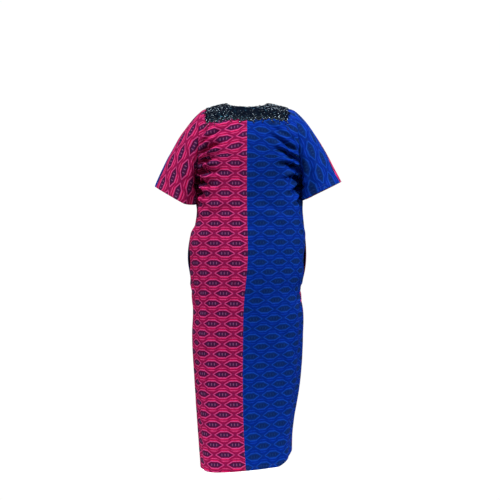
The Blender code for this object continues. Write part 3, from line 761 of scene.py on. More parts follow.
creaseScale = {
    "quarter": 0.335, "sleeveHalf": 0.20, "sleeveLength": 0.25,     # metres for a whole step of the tables
    "starts": 0.18, "startStrength": 0.25, "ends": 0.40, "beyond": 0.012,
    "roll": 1.25, "rollPlace": 1.35, "rollTightness": 1.2,
}


def creaseDepth(creases, across, up, acrossSize, upSize, around):
    total, p = np.zeros_like(up), creaseScale
    for c in creases:
        span = np.array(((c.toTurn - c.turn) * acrossSize, (c.toRise - c.rise) * upSize))
        length = np.linalg.norm(span)
        way = span / length
        away = (across - c.turn + around / 2) % around - around / 2
        x, y = away * acrossSize, (up - c.rise) * upSize
        along = (x * way[0] + y * way[1]) / length
        inside = np.clip(along, 0, 1)
        off = x * way[1] - y * way[0] - c.bow * 4 * inside * (1 - inside)
        beyond = np.abs(along - inside) * length / p["beyond"]
        taper = smooth(inside / p["starts"] + p["startStrength"]) * smooth((1 - inside) / p["ends"])
        d = off / c.width
        roll = p["roll"] if c.depth > 0 else 0
        shape = np.exp(-d * d) - roll * np.exp(-((d - p["rollPlace"]) ** 2) * p["rollTightness"])
        total += c.depth * shape * taper * np.exp(-beyond ** 2)
    return total


def drift(points, scale, seed):
    # slow unevenness that no cloth is without
    flat = points.reshape(-1, 3)
    values = [noise.noise(Vector((x * scale[0], y * scale[1], z * scale[2] + seed))) for x, y, z in flat]
    return np.array(values).reshape(points.shape[:2])


unevenness = {
    "bodyScale": (9.0, 9.0, 4.5), "bodyDepth": 0.0022,
    "fineScale": (34.0, 34.0, 20.0), "fineDepth": 0.0007,
    "sleeveScale": (14.0, 14.0, 14.0), "sleeveDepth": 0.0016,
    "hemRoll": 0.0090, "hemRows": 2.2,      # the hem rolls in over its lowest rows
    "shoulderShare": 0.44,                  # nothing creases on top of the shoulders
    "sleeveHead": 0.16,                     # the top of a sleeve follows its armhole
    "mouthKeep": 8,                         # the mouths' edges keep their gape
}
normals = shareNormals(grids, signs)
moves = {}
# panels come before sleeves, which follow their armholes
for name in sorted(grids):
    kind, side, face = name
    grid = grids[name]
    p = unevenness
    if kind == "panel":
        rise = grid[..., 2].copy()
        top = len(skirtHeights) - 1
        rise[top:] = underarmHeight + flats[name][1][top:] - flats[name][1][top]
        turn = np.broadcast_to(turnOf(side, face, shares), rise.shape)
        depth = creaseDepth(bodyCreases, turn, rise, creaseScale["quarter"], 1.0, 4)
        depth += p["bodyDepth"] * drift(grid, p["bodyScale"], 3.0)
        depth += p["fineDepth"] * drift(grid, p["fineScale"], 9.0)
        rows = np.arange(len(grid))
        depth *= smooth((rows[-1] - rows) / (fineGrid["yokeRows"] * p["shoulderShare"]))[:, None]
        depth -= p["hemRoll"] * (np.clip(1 - rows / p["hemRows"], 0, 1) ** 1.5)[:, None]
        atMouth = mouthShare(grid[..., 2]) * shares ** p["mouthKeep"]
        moves[name] = normals[name] * (depth * (1 - atMouth))[..., None]
    else:
        around = np.broadcast_to(face * (1 - np.linspace(0, 1, grid.shape[1])), grid.shape[:2])
        down = np.broadcast_to(sleeveShares[:, None], grid.shape[:2])
        depth = creaseDepth(sleeveCreases[side], around, down, creaseScale["sleeveHalf"],
                            creaseScale["sleeveLength"], 2)
        depth += p["sleeveDepth"] * drift(grid, p["sleeveScale"], 5.0)
        near = smooth(1 - sleeveShares / p["sleeveHead"])[:, None]
        edgeMove = moves["panel", side, face][len(skirtHeights) - 1:, -1]
        moves[name] = normals[name] * (depth * (1 - near))[..., None] + edgeMove[None] * near[..., None]
cloth = {name: grid + moves[name] for name, grid in grids.items()}
lifts = shareNormals(cloth, signs)
print("creases laid")


# Each cloth piece is a thin shell, with its seams pressed in and its hem turned up inside.
clothShell = {
    "wall": 0.0007,
    "seamDip": 0.0007,
    "dipReach": 0.0022,
    "seamGap": 0.00002,                         # a hair's gap where two pieces meet
    "turn": {"panel": 0.024, "sleeve": 0.020},
    "turnSoftness": 0.003,
    "turnedWall": 0.0007,
    "turnShows": 0.3,                           # the share of the turned layer that lifts the outside
    "groove": 0.0004,                           # the stitches draw the turn in
    "sharpAngle": 60,
}
gapeShows = 0.02     # where a mouth gapes more than this, its seam isn't sewn
seamsOf = {"panel": ("first", "last", "top"), "sleeve": ("first", "last", "bottom")}
hemOf = {"panel": "bottom", "sleeve": "top"}


def addPiece(name, mesh, material, node):
    mesh.materials.append(material)
    piece = newObject(name, mesh)
    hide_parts(node)
    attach(piece, "root")
    return piece


def colourOf(side, face):
    # the left back is rose, and the two colours alternate round the body
    return "rose" if side * face > 0 else "blue"


def shellMesh(name, outer, inner, sign, uv):
    rows, along = outer.shape[:2]
    count = rows * along
    index = np.arange(count).reshape(rows, along)
    quads = gridQuads(index)
    border = np.concatenate((index[0], index[1:, -1], index[-1, -2::-1], index[-2:0:-1, 0]))
    after = np.roll(border, -1)
    rim = np.stack((border, after, after + count, border + count), axis=1)
    if sign > 0:
        quads = quads[:, [0, 3, 2, 1]]
    else:
        rim = rim[:, ::-1]
    every = np.concatenate((quads, quads[:, ::-1] + count, rim))
    mesh = newMesh(name, np.concatenate((outer.reshape(-1, 3), inner.reshape(-1, 3))), every.tolist())
    layer = mesh.uv_layers.new(name="cloth")
    spots = np.concatenate((uv.reshape(-1, 2), uv.reshape(-1, 2)))
    layer.data.foreach_set("uv", spots[every.reshape(-1)].astype(np.float32).reshape(-1))
    mesh.shade_smooth()
    mesh.set_sharp_from_angle(angle=math.radians(clothShell["sharpAngle"]))
    return mesh


def addCloth(kind, side, face, outer, inner, sign, uv):
    title = f"{kind}{sides[side]}{faces[face]}"
    colour = colourOf(side, face)
    node = f"{faces[face]}_{sides[side]}" if kind == "panel" else f"{kind}_{sides[side]}_{faces[face]}"
    mesh = shellMesh(title, outer, inner, sign, uv)
    piece = addPiece(title, mesh, cottons[colour], node.lower())
    print(title, len(mesh.polygons), "faces")


def borderWays(grid):
    # metres from each border, along the cloth
    across = np.linalg.norm(np.diff(grid, axis=1), axis=2)
    up = np.linalg.norm(np.diff(grid, axis=0), axis=2)
    zeroColumn, zeroRow = np.zeros((len(grid), 1)), np.zeros((1, grid.shape[1]))
    return {
        "first": np.concatenate((zeroColumn, np.cumsum(across, axis=1)), axis=1),
        "last": np.concatenate((np.cumsum(across[:, ::-1], axis=1)[:, ::-1], zeroColumn), axis=1),
        "bottom": np.concatenate((zeroRow, np.cumsum(up, axis=0))),
        "top": np.concatenate((np.cumsum(up[::-1], axis=0)[::-1], zeroRow)),
    }


# Each cut piece: its width, length and area, and how the print lies across and up it. A run has
# its start, its growth across and up the cut, how far it swings out low down and sags, and its
# tilt at the shoulder.
Cut = namedtuple("Cut", "width length area runs")
Run = namedtuple("Run", "start across up low sag yoke", defaults=(0, 0, 0))
cuts = {
    ("panel", left, back): Cut(0.334, 1.520, 0.435, (
        Run(-0.078, 1.041, -0.011), Run(-0.066, 0.002, 1.003, yoke=0.27))),
    ("panel", right, back): Cut(0.343, 1.507, 0.442, (
        Run(-0.089, 1.149, -0.016, 0.055, 0.017), Run(-0.014, -0.039, 1.031, -0.085, -0.014, 0.27))),
    ("panel", left, front): Cut(0.346, 1.501, 0.453, (
        Run(-0.060, 1.080, 0.010), Run(-0.040, 0.010, 1.000, yoke=0.20))),
    ("panel", right, front): Cut(0.355, 1.491, 0.454, (
        Run(-0.070, 1.060, -0.010), Run(-0.022, -0.010, 1.010, yoke=0.20))),
    ("sleeve", left, back): Cut(0.283, 0.406, 0.066, (
        Run(-0.152, 0.221, 0.894), Run(-0.044, 0.867, -0.114))),
    ("sleeve", right, back): Cut(0.277, 0.383, 0.059, (
        Run(-0.092, 0.129, 0.941), Run(0.014, 0.788, -0.070))),
    ("sleeve", left, front): Cut(0.304, 0.371, 0.065, (
        Run(-0.120, 0.150, 0.930), Run(-0.020, 0.860, -0.080))),
    ("sleeve", right, front): Cut(0.312, 0.353, 0.062, (
        Run(-0.075, 0.120, 0.940), Run(0.010, 0.830, -0.060))),
}
printReach = {"low": 0.75, "sag": 0.80, "yokeStarts": 1.19, "yokeGrows": 0.06}     # metres up the cut


def printAt(run, u, v):
    p = printReach
    low = u * np.clip(1 - v / p["low"], 0, 1)
    sag = np.sin(math.pi * np.clip(v / p["sag"], 0, 1)) ** 2
    yoke = u * smooth((v - p["yokeStarts"]) / p["yokeGrows"])
    return run.start + run.across * u + run.up * v + run.low * low + run.sag * sag + run.yoke * yoke


for name, grid in cloth.items():
    kind, side, face = name
    lift, s = lifts[name], clothShell
    ways = borderWays(grid)
    far = np.minimum.reduce([ways[seam] for seam in seamsOf[kind]])
    fromHem = ways[hemOf[kind]]
    closed = (mouthShare(grid[..., 2]) * (shares > 0.5) < gapeShows) if kind == "panel" else 1
    dip = s["seamDip"] * np.exp(-((far / s["dipReach"]) ** 2)) * closed
    doubled = s["turnedWall"] * smooth((s["turn"][kind] - fromHem) / s["turnSoftness"] + 0.5)
    fromStitches = fromHem - s["turn"][kind] + s["turnSoftness"]
    groove = s["groove"] * np.exp(-((fromStitches / s["dipReach"]) ** 2))
    middle = grid - lift * (dip + groove)[..., None]
    outer = middle + lift * (s["wall"] / 2 + doubled * s["turnShows"])[..., None]
    inner = middle - lift * (s["wall"] / 2 + doubled)[..., None]
    for edge, inward in ((0, 1), (-1, -2)):
        toward = unit(grid[:, inward] - grid[:, edge]) * s["seamGap"]
        outer[:, edge] += toward
        inner[:, edge] += toward
    uv = np.stack([printAt(run, *flats[name]) for run in cuts[name].runs], axis=-1)
    addCloth(kind, side, face, outer, inner, signs[name], uv)


# Pocket bags: the front panel's cloth moved inwards, held open as by a hand. Low and high are
# rows of the panel, counted as in its solids, at each twelfth of its width from the side seam.
Bag = namedtuple("Bag", "low high")
bagOutline = (Bag(11.6, 19.0), Bag(11.2, 19.0), Bag(11.0, 19.0),
              Bag(11.0, 18.9), Bag(11.15, 18.7), Bag(11.6, 18.3))
pocketBag = {
    "rows": 60, "columns": 34,
    "inset": {front: 0.0020, back: 0.0035},
    "fullness": 0.024,
    "wall": 0.0006,
    "cut": Cut(0.152, 0.270, 0.035, ()),
}
rowHeights = np.concatenate((
    np.linspace(trunk[0].height, mouthBottom, 14),
    np.linspace(mouthBottom, mouthTop, 7)[1:],
    np.linspace(mouthTop, underarmHeight, 6)[1:],
))


def readGrid(grid, row, column):
    row, column = np.broadcast_arrays(np.asarray(row, float), np.asarray(column, float))
    i = np.clip(row.astype(int), 0, grid.shape[0] - 2)
    j = np.clip(column.astype(int), 0, grid.shape[1] - 2)
    a, b = (row - i)[..., None], (column - j)[..., None]
    return ((grid[i, j] * (1 - b) + grid[i, j + 1] * b) * (1 - a)
            + (grid[i + 1, j] * (1 - b) + grid[i + 1, j + 1] * b) * a)


def bagGrid(side, layer):
    points, ups = cloth["panel", side, front], lifts["panel", side, front]
    behind, behindUps = cloth["panel", side, back], lifts["panel", side, back]
    last = points.shape[1] - 1
    p = pocketBag
    grid = np.zeros((p["rows"] + 1, p["columns"] + 1, 3))
    for i, j in np.ndindex(grid.shape[:2]):
        upward, spread = i / p["rows"], j / p["columns"]
        at = spread * (len(bagOutline) - 1)
        low, high = (np.interp(at, np.arange(len(bagOutline)), ends) for ends in zip(*bagOutline))
        column = np.interp(1 - at / yokeParts, shares, np.arange(len(shares)))
        height = np.interp(low + (high - low) * upward, np.arange(len(rowHeights)), rowHeights)
        row = np.interp(height, skirtHeights, np.arange(len(skirtHeights)))
        inset = p["inset"][layer]
        point, up = readGrid(points, row, column), readGrid(ups, row, column)
        if layer == back:
            home = readGrid(points, row, last) - readGrid(ups, row, last) * inset
            near = inset + (p["inset"][front] - inset) * mouthShare(height)
            over = readGrid(behind, row, last) - readGrid(behindUps, row, last) * near
            point = point + (over - home) * (1 - spread) ** 2
            inset += p["fullness"] * math.sin(math.pi * upward) * math.sin(math.pi * spread)
        grid[i, j] = point - unit(up) * inset
    return grid


for side, layer in quarters:
    grid = bagGrid(side, layer)
    thick = gridNormals(grid, side) * pocketBag["wall"] / 2     # columns run from the side seam inwards
    ways = borderWays(grid)
    uv = np.stack((ways["first"], ways["bottom"]), axis=-1)
    addCloth("pocket", side, layer, grid + thick, grid - thick, side, uv)
print("cloth pieces made")


def nodeTree(name, sockets):
    tree = bpy.data.node_groups.new(name, "GeometryNodeTree")
    tree.interface.new_socket("Geometry", in_out="OUTPUT", socket_type="NodeSocketGeometry")
    for title, kind in sockets.items():
        tree.interface.new_socket(title, in_out="INPUT", socket_type=f"NodeSocket{kind}")
    return tree, tree.nodes.new("NodeGroupInput").outputs


def finishTree(tree, instances, material):
    real = addNode(tree, "GeometryNodeRealizeInstances", inputs=(instances,))
    dressed = addNode(tree, "GeometryNodeSetMaterial", inputs={"Geometry": real, "Material": material})
    addNode(tree, "NodeGroupOutput", inputs=(dressed,))


# a line of stitches along each edge of the mesh, each one a short rounded strand of thread
stitchTree, given = nodeTree("running stitch", {
    "Line": "Geometry", "Pitch": "Float", "Length": "Float", "Thickness": "Float", "Thread": "Material"})
line = addNode(stitchTree, "GeometryNodeMeshToCurve", inputs={"Mesh": given["Line"]})
line = addNode(stitchTree, "GeometryNodeResampleCurve", {"mode": "LENGTH"}, {
    "Curve": line, "Length": given["Pitch"]})
ahead = addNode(stitchTree, "GeometryNodeInputTangent")
outward = addNode(stitchTree, "GeometryNodeInputNamedAttribute", {"data_type": "FLOAT_VECTOR"}, ("outward",))
turned = addNode(stitchTree, "FunctionNodeAxesToRotation", {
    "primary_axis": "Z", "secondary_axis": "X"}, (ahead, outward))
size = addNode(stitchTree, "ShaderNodeCombineXYZ", inputs=(
    given["Thickness"], given["Thickness"], given["Length"]))
strand = addNode(stitchTree, "GeometryNodeMeshIcoSphere", inputs={"Radius": 0.5, "Subdivisions": 1})
stitches = addNode(stitchTree, "GeometryNodeInstanceOnPoints", inputs={
    "Points": line, "Instance": strand, "Rotation": turned, "Scale": size})
finishTree(stitchTree, stitches, given["Thread"])

# one small shape on every point, its Z outwards and its X along "ahead", tilted a little
sewnTree, given = nodeTree("sewn on", {
    "Places": "Geometry", "Shape": "Object", "Tilt": "Float", "Seed": "Int", "Finish": "Material"})
outward, ahead, size = (
    addNode(sewnTree, "GeometryNodeInputNamedAttribute", {"data_type": kind}, (title,))
    for title, kind in (("outward", "FLOAT_VECTOR"), ("ahead", "FLOAT_VECTOR"), ("size", "FLOAT")))
turned = addNode(sewnTree, "FunctionNodeAxesToRotation", {
    "primary_axis": "Z", "secondary_axis": "X"}, (outward, ahead))
least = addNode(sewnTree, "ShaderNodeMath", "MULTIPLY", (given["Tilt"], -1.0))
tilt = addNode(sewnTree, "FunctionNodeRandomValue", {"data_type": "FLOAT_VECTOR"}, {
    "Min": least, "Max": given["Tilt"], "Seed": given["Seed"]})
turned = addNode(sewnTree, "FunctionNodeRotateRotation", {"rotation_space": "LOCAL"}, (turned, tilt))
shape = addNode(sewnTree, "GeometryNodeObjectInfo", inputs={"Object": given["Shape"]})
copies = addNode(sewnTree, "GeometryNodeInstanceOnPoints", inputs={
    "Points": given["Places"], "Instance": shape.outputs["Geometry"], "Rotation": turned, "Scale": size})
finishTree(sewnTree, copies, given["Finish"])


def grown(name, points, edges, attributes, tree, values):
    mesh = newMesh(name, points, [], edges)
    for title, data in attributes.items():
        data = np.asarray(data, np.float32)
        kind, part = ("FLOAT_VECTOR", "vector") if data.ndim == 2 else ("FLOAT", "value")
        mesh.attributes.new(title, kind, "POINT").data.foreach_set(part, data.reshape(-1))
    piece = newObject(name, mesh)
    modifier = piece.modifiers.new(name, "NODES")
    modifier.node_group = tree
    for socket in tree.interface.items_tree:
        if socket.in_out == "INPUT" and socket.name in values:
            modifier[socket.identifier] = values[socket.name]
    ready = piece.evaluated_get(bpy.context.evaluated_depsgraph_get())
    result = bpy.data.meshes.new_from_object(ready)
    piece.modifiers.clear()
    piece.data = result
    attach(piece, "root")
    print(name, len(result.polygons), "faces")


def unitShape(name, points, polygons):
    mesh = newMesh(name, points, polygons)
    mesh.shade_smooth()
    return newObject(name, mesh)


# Topstitching on hems, cuffs and pocket mouths. Real stitches are 2.6 mm long and 0.4 mm thick.
sewing = {
    "pitch": 0.0033, "length": 0.0027, "thickness": 0.0006, "above": 0.0001,
    "fromHem": {"panel": 0.021, "sleeve": 0.017},
    "fromMouth": 0.006, "pastMouth": 0.012,
    "hemPoints": 90, "mouthPoints": 50, "fromSeam": 0.4,
}


def stitchRuns(kind, grid):
    # rows and columns of a piece that its lines of stitches follow
    ways, s = borderWays(grid), sewing
    columns = np.linspace(s["fromSeam"], grid.shape[1] - 1 - s["fromSeam"], s["hemPoints"])
    whole, sign = np.arange(grid.shape[0]), 1 if kind == "panel" else -1
    away = ways[hemOf[kind]][:, np.round(columns).astype(int)]
    reach = s["fromHem"][kind]
    runs = [([np.interp(sign * reach, sign * line, whole) for line in away.T], columns)]
    if kind == "panel":
        heights = np.linspace(mouthBottom - s["pastMouth"], mouthTop + s["pastMouth"], s["mouthPoints"])
        rows = np.interp(heights, skirtHeights, np.arange(len(skirtHeights)))
        whole = np.arange(grid.shape[1])
        runs.append((rows, [np.interp(-s["fromMouth"], -ways["last"][int(row)], whole) for row in rows]))
    return runs


for colour, thread in threads.items():
    points, outwards, edges = [], [], []
    for name, grid in cloth.items():
        kind, side, face = name
        if colourOf(side, face) != colour:
            continue
        for rows, columns in stitchRuns(kind, grid):
            start = len(points)
            lift = unit(readGrid(lifts[name], rows, columns))
            points += list(readGrid(grid, rows, columns) + lift * (clothShell["wall"] / 2 + sewing["above"]))
            outwards += list(lift)
            edges += [(i, i + 1) for i in range(start, len(points) - 1)]
    grown(f"stitches{colour.title()}", points, edges, {"outward": outwards}, stitchTree, {
        "Pitch": sewing["pitch"], "Length": sewing["length"], "Thickness": sewing["thickness"],
        "Thread": thread})
print("sewing done")


# The applique: a corded net with a scalloped edge, flowers and leaves worked on it, and beads
# and sequins sewn round them. Its rows are counted as in its solid.
applique = {
    "low": {back: (6.5, 7.95), front: (6.0, 8.6)},
    "width": {left: 0.87, right: 0.81},
    "scallops": 7, "scallopDepth": 0.30,
    "ragged": 0.035, "raggedParts": 3.5, "raggedReach": 8,     # the side by the armhole
    "roundness": 0.7,      # below 1 the scallops grow fuller
    "columns": 98, "rows": 34,
    "gap": 0.0004,
    "net": 0.0009,
    "relief": 0.0006, "reliefParts": 2.5,
    "sharpAngle": 55,
}
yokeStart = len(skirtHeights) - 1
yokeScale = fineGrid["yokeRows"] / yokeParts


def lacePlace(side, face, spread, level):
    # spread runs from the middle to the shoulder, level from the scalloped edge to the neck
    spread, level = np.broadcast_arrays(np.asarray(spread, float), np.asarray(level, float))
    p = applique
    near, far = p["low"][face]
    scallop = np.abs(np.sin(math.pi * p["scallops"] * spread)) ** p["roundness"]
    low = near + (far - near) * spread - p["scallopDepth"] * scallop
    row = yokeStart + yokeScale * (low + (yokeParts - low) * level)
    ragged = np.abs(np.cos(math.pi * p["raggedParts"] * level)) ** p["roundness"]
    reach = p["width"][side] - p["ragged"] * spread ** p["raggedReach"] * ragged
    column = np.interp(spread * reach, shares, np.arange(len(shares)))
    key = ("panel", side, face)
    return readGrid(cloth[key], row, column), unit(readGrid(lifts[key], row, column)), scallop


# the four quarters of the net, joined where they meet
points, ups, quads, welded = [], [], [], {}
for side, face in quarters:
    p = applique
    spread, level = np.meshgrid(np.linspace(0, 1, p["columns"] + 1), np.linspace(0, 1, p["rows"] + 1))
    base, lift, scallop = lacePlace(side, face, spread, level)
    relief = p["relief"] * (np.abs(np.sin(math.pi * p["reliefParts"] * level)) * scallop)
    index = np.zeros(spread.shape, int)
    for spot in np.ndindex(index.shape):
        key = tuple(np.round(base[spot], 5))
        if key not in welded:
            welded[key] = len(points)
            points.append(base[spot] + lift[spot] * (clothShell["wall"] / 2 + p["gap"]))
            ups.append(lift[spot] * (p["net"] + relief[spot]))
        index[spot] = welded[key]
    quads += gridQuads(index)[:, [0, 3, 2, 1] if side * face > 0 else [1, 2, 3, 0]].tolist()
# close the net with an inside layer and a rim on every open edge
count = len(points)
netFaces = [[v for i, v in enumerate(quad) if v != quad[i - 1]] for quad in quads]
openEdges = {}
for ring in netFaces:
    for a, b in zip(ring, ring[1:] + ring[:1]):
        if openEdges.pop((b, a), None) is None:
            openEdges[a, b] = True
netFaces += [[v + count for v in ring[::-1]] for ring in netFaces]
netFaces += [(b, a, a + count, b + count) for a, b in openEdges]
net = newMesh("appliqueNet", np.concatenate((np.add(points, ups), points)), netFaces)
net.shade_smooth()
net.set_sharp_from_angle(angle=math.radians(applique["sharpAngle"]))
addPiece("appliqueNet", net, blackLace, "neck_applique")
print("applique net", len(netFaces), "faces")

# unit shapes, a few dozen faces each: a flower of cupped petals, a leaf, a sequin and a bead
petals = 5
petalRings = ((0.22, 0.34, 0.18), (0.62, 0.50, 0.17), (0.92, 0.30, 0.08))     # reach, half width, height
flowerPoints, flowerFaces = [(0.0, 0.0, 0.20)], []
for petal in range(petals):
    first = len(flowerPoints)
    for reach, half, height in petalRings:
        for turn, dip in ((-half, -0.10), (0, 0.05), (half, -0.10)):
            angle = 2 * math.pi * petal / petals + turn
            flowerPoints.append((reach * math.cos(angle), reach * math.sin(angle), height + dip))
    flowerFaces += [(a, a + 3, a + 4, a + 1) for a in (first, first + 1, first + 3, first + 4)]
    flowerFaces.append((0, first, first + 1, first + 2))
flower = unitShape("flowerShape", flowerPoints, flowerFaces)
leaf = unitShape("leafShape", [
    (-1, 0, 0), (-0.35, 0.26, 0.02), (0.4, 0.22, 0.02), (1, 0, 0), (0.4, -0.22, 0.02),
    (-0.35, -0.26, 0.02), (-0.35, 0, 0.14), (0.4, 0, 0.13)], [
    (0, 6, 1), (1, 6, 7, 2), (2, 7, 3), (3, 7, 4), (4, 7, 6, 5), (5, 6, 0)])
around = [(math.cos(2 * math.pi * i / 8), math.sin(2 * math.pi * i / 8)) for i in range(8)]
sequin = unitShape("sequinShape", [
    (x * reach, y * reach, height) for reach, height in ((1, 0.10), (0.3, 0), (1, 0)) for x, y in around], [
    *[(i, (i + 1) % 8, 8 + (i + 1) % 8, 8 + i) for i in range(8)],
    *[(16 + i, 16 + (i + 1) % 8, (i + 1) % 8, i) for i in range(8)],
    tuple(range(15, 7, -1)), tuple(range(23, 15, -1))])
golden = (1 + math.sqrt(5)) / 2
corners = np.array((
    (-1, golden, 0), (1, golden, 0), (-1, -golden, 0), (1, -golden, 0), (0, -1, golden), (0, 1, golden),
    (0, -1, -golden), (0, 1, -golden), (golden, 0, -1), (golden, 0, 1), (-golden, 0, -1), (-golden, 0, 1)))
bead = unitShape("beadShape", corners / math.hypot(1, golden), [
    (0, 11, 5), (0, 5, 1), (0, 1, 7), (0, 7, 10), (0, 10, 11), (1, 5, 9), (5, 11, 4), (11, 10, 2),
    (10, 7, 6), (7, 1, 8), (3, 9, 4), (3, 4, 2), (3, 2, 6), (3, 6, 8), (3, 8, 9), (4, 9, 5), (2, 4, 11),
    (6, 2, 10), (8, 6, 7), (9, 8, 1)])


# How the flowers, leaves, beads and sequins lie on the net. Sizes are metres, places are shares.
FlowerRow = namedtuple("FlowerRow", "level count size shift")
flowerRows = (
    FlowerRow(0.15, 5, 0.0150, 0.0),
    FlowerRow(0.42, 5, 0.0135, 0.5),
    FlowerRow(0.67, 4, 0.0125, 0.0),
    FlowerRow(0.89, 4, 0.0105, 0.5),
)
beadwork = {
    "astray": (0.012, 0.030),         # how far a flower sits from its place
    "unequal": 0.12,
    "ringBeads": 15, "ringSize": (0.0010, 0.0014), "steelShare": 0.24,
    "ringReach": 0.98, "ringWave": 0.16, "ringWithin": (0.03, 0.985),
    "heart": 0.0019, "heartHeight": 0.2,
    "leaves": 3, "leafReach": 1.5, "leafSize": 0.55, "leafWithin": (0.08, 0.95),
    "scattered": 210, "tealShare": 0.55,
    "crowding": 1.8,                  # above 1 the sequins crowd at the scalloped edge
    "sequinSize": (0.0016, 0.0026), "scatteredSize": (0.0012, 0.0019),
    "edgePitch": 0.0031, "edgeSize": (0.0012, 0.0015), "edgeSteps": 400,
    "beadHeight": 0.0012, "sequinHeight": 0.0005, "edgeHeight": 0.0010,
}
edgeRows = ((0.012, ("steel", "jet")), (0.055, ("jet", "steel", "jet")))
# sprigs of beads that reach past the edge, largest by the armholes
Sprig = namedtuple("Sprig", "spread toSpread toLevel")
sprigs = {
    back: (Sprig(0.10, 0.12, -0.07), Sprig(0.30, 0.27, -0.09), Sprig(0.50, 0.54, -0.08),
           Sprig(0.72, 0.69, -0.12), Sprig(0.90, 0.93, -0.20), Sprig(0.97, 1.03, -0.14)),
    front: (Sprig(0.12, 0.10, -0.07), Sprig(0.33, 0.36, -0.08), Sprig(0.52, 0.49, -0.09),
            Sprig(0.70, 0.74, -0.11), Sprig(0.90, 0.94, -0.22), Sprig(0.97, 1.03, -0.12)),
}
sprigForm = {
    "beads": 7, "starts": 0.01, "height": 0.0013,
    "size": 0.0014, "thinning": 0.0004, "endSize": 0.0018,
    "leavesAt": (3, 5), "leafAside": 0.012, "leafHeight": 0.0005, "leafSize": 0.0042,
    "leafTurn": 0.9, "leafBack": 1.57,
}
topOfNet = applique["gap"] + applique["net"]
fullTurn = 6.28
lookAhead, measureStep = 0.004, 0.01     # shares of the net's width over which its run is read
rng = np.random.default_rng(11)
store = {kind: ([], [], [], []) for kind in ("flower", "leaf", "jet", "steel", "teal")}


def putOn(kind, side, face, spread, level, height, size, spin=0.0):
    # keeps the point, its outward and along vectors and the size of one small piece
    base, lift, _ = lacePlace(side, face, spread, level)
    way = lacePlace(side, face, spread + lookAhead, level)[0] - base
    way = unit(way - lift * np.sum(way * lift, axis=-1, keepdims=True))
    if spin:
        way = way * math.cos(spin) + np.cross(lift, way) * math.sin(spin)
    point = base + lift * (clothShell["wall"] / 2 + height)
    for column, value in zip(store[kind], (point, lift, way, size)):
        column.append(value)


def laceSteps(side, face, spread, level):
    # metres for a whole spread and a whole level at one place
    here = lacePlace(side, face, spread, level)[0]
    along = np.linalg.norm(lacePlace(side, face, spread + measureStep, level)[0] - here) / measureStep
    up = np.linalg.norm(lacePlace(side, face, spread, level + measureStep)[0] - here) / measureStep
    return along, up


def addFlower(side, face, spread, level, size, spin):
    p = beadwork
    putOn("flower", side, face, spread, level, topOfNet, size, spin)
    along, up = laceSteps(side, face, spread, level)
    # beads round the flower, following its petals
    for k in range(p["ringBeads"]):
        angle = 2 * math.pi * k / p["ringBeads"]
        reach = size * (p["ringReach"] + p["ringWave"] * math.cos(petals * (angle - spin * side * face)))
        x, y = reach * math.cos(angle) / along, reach * math.sin(angle) / up
        if p["ringWithin"][0] <= level + y <= p["ringWithin"][1]:
            kind = "steel" if rng.random() < p["steelShare"] else "jet"
            putOn(kind, side, face, spread + x, level + y, topOfNet + p["beadHeight"],
                  rng.uniform(*p["ringSize"]))
    putOn("steel", side, face, spread, level, topOfNet + size * p["heartHeight"], p["heart"])
    for _ in range(p["leaves"]):
        angle = rng.uniform(0, fullTurn)
        reach = size * p["leafReach"]
        x, y = reach * math.cos(angle) / along, reach * math.sin(angle) / up
        if p["leafWithin"][0] < level + y < p["leafWithin"][1]:
            putOn("leaf", side, face, spread + x, level + y, topOfNet, size * p["leafSize"],
                  rng.uniform(0, fullTurn))


for side, face in quarters:
    p = beadwork
    sideways, upDown = p["astray"]
    for row in flowerRows:
        for k in range(row.count):
            spread = (k + 0.5 + row.shift * 0.5) / row.count + rng.uniform(-sideways, sideways)
            level = row.level + rng.uniform(-upDown, upDown)
            size = row.size * rng.uniform(1 - p["unequal"], 1 + p["unequal"])
            addFlower(side, face, spread, level, size, rng.uniform(0, fullTurn))
    # sequins and beads between the flowers
    for _ in range(p["scattered"]):
        spread, level = rng.uniform(0.0, 0.995), rng.uniform(0.03, 0.97) ** p["crowding"]
        kind, height, sizes = "steel", p["beadHeight"], p["scatteredSize"]
        if rng.random() < p["tealShare"]:
            kind, height, sizes = "teal", p["sequinHeight"], p["sequinSize"]
        putOn(kind, side, face, spread, level, topOfNet + height, rng.uniform(*sizes))
    # a double row of beads on the scallops
    for level, kinds in edgeRows:
        spread = np.linspace(0, 1, p["edgeSteps"])
        spots = lacePlace(side, face, spread, level)[0]
        length = np.concatenate(((0,), np.cumsum(np.linalg.norm(np.diff(spots, axis=0), axis=1))))
        total = int(length[-1] / p["edgePitch"])
        for k in range(total):
            at = np.interp((k + 0.5) * length[-1] / total, length, spread)
            putOn(kinds[k % len(kinds)], side, face, at, level, topOfNet + p["edgeHeight"],
                  rng.uniform(*p["edgeSize"]))
for side, face in quarters:
    p = sprigForm
    for sprig in sprigs[face]:
        for step in range(p["beads"]):
            t = step / (p["beads"] - 1)
            spread = sprig.spread + (sprig.toSpread - sprig.spread) * t * t
            level = p["starts"] + (sprig.toLevel - p["starts"]) * t
            putOn("steel" if step % 2 else "jet", side, face, spread, level, p["height"],
                  p["size"] - p["thinning"] * t)
            if step in p["leavesAt"]:
                for bend in (-1, 1):
                    putOn("leaf", side, face, spread + bend * p["leafAside"], level + p["leafAside"],
                          p["leafHeight"], p["leafSize"], bend * p["leafTurn"] - p["leafBack"])
        putOn("jet", side, face, sprig.toSpread, sprig.toLevel, p["height"], p["endSize"])

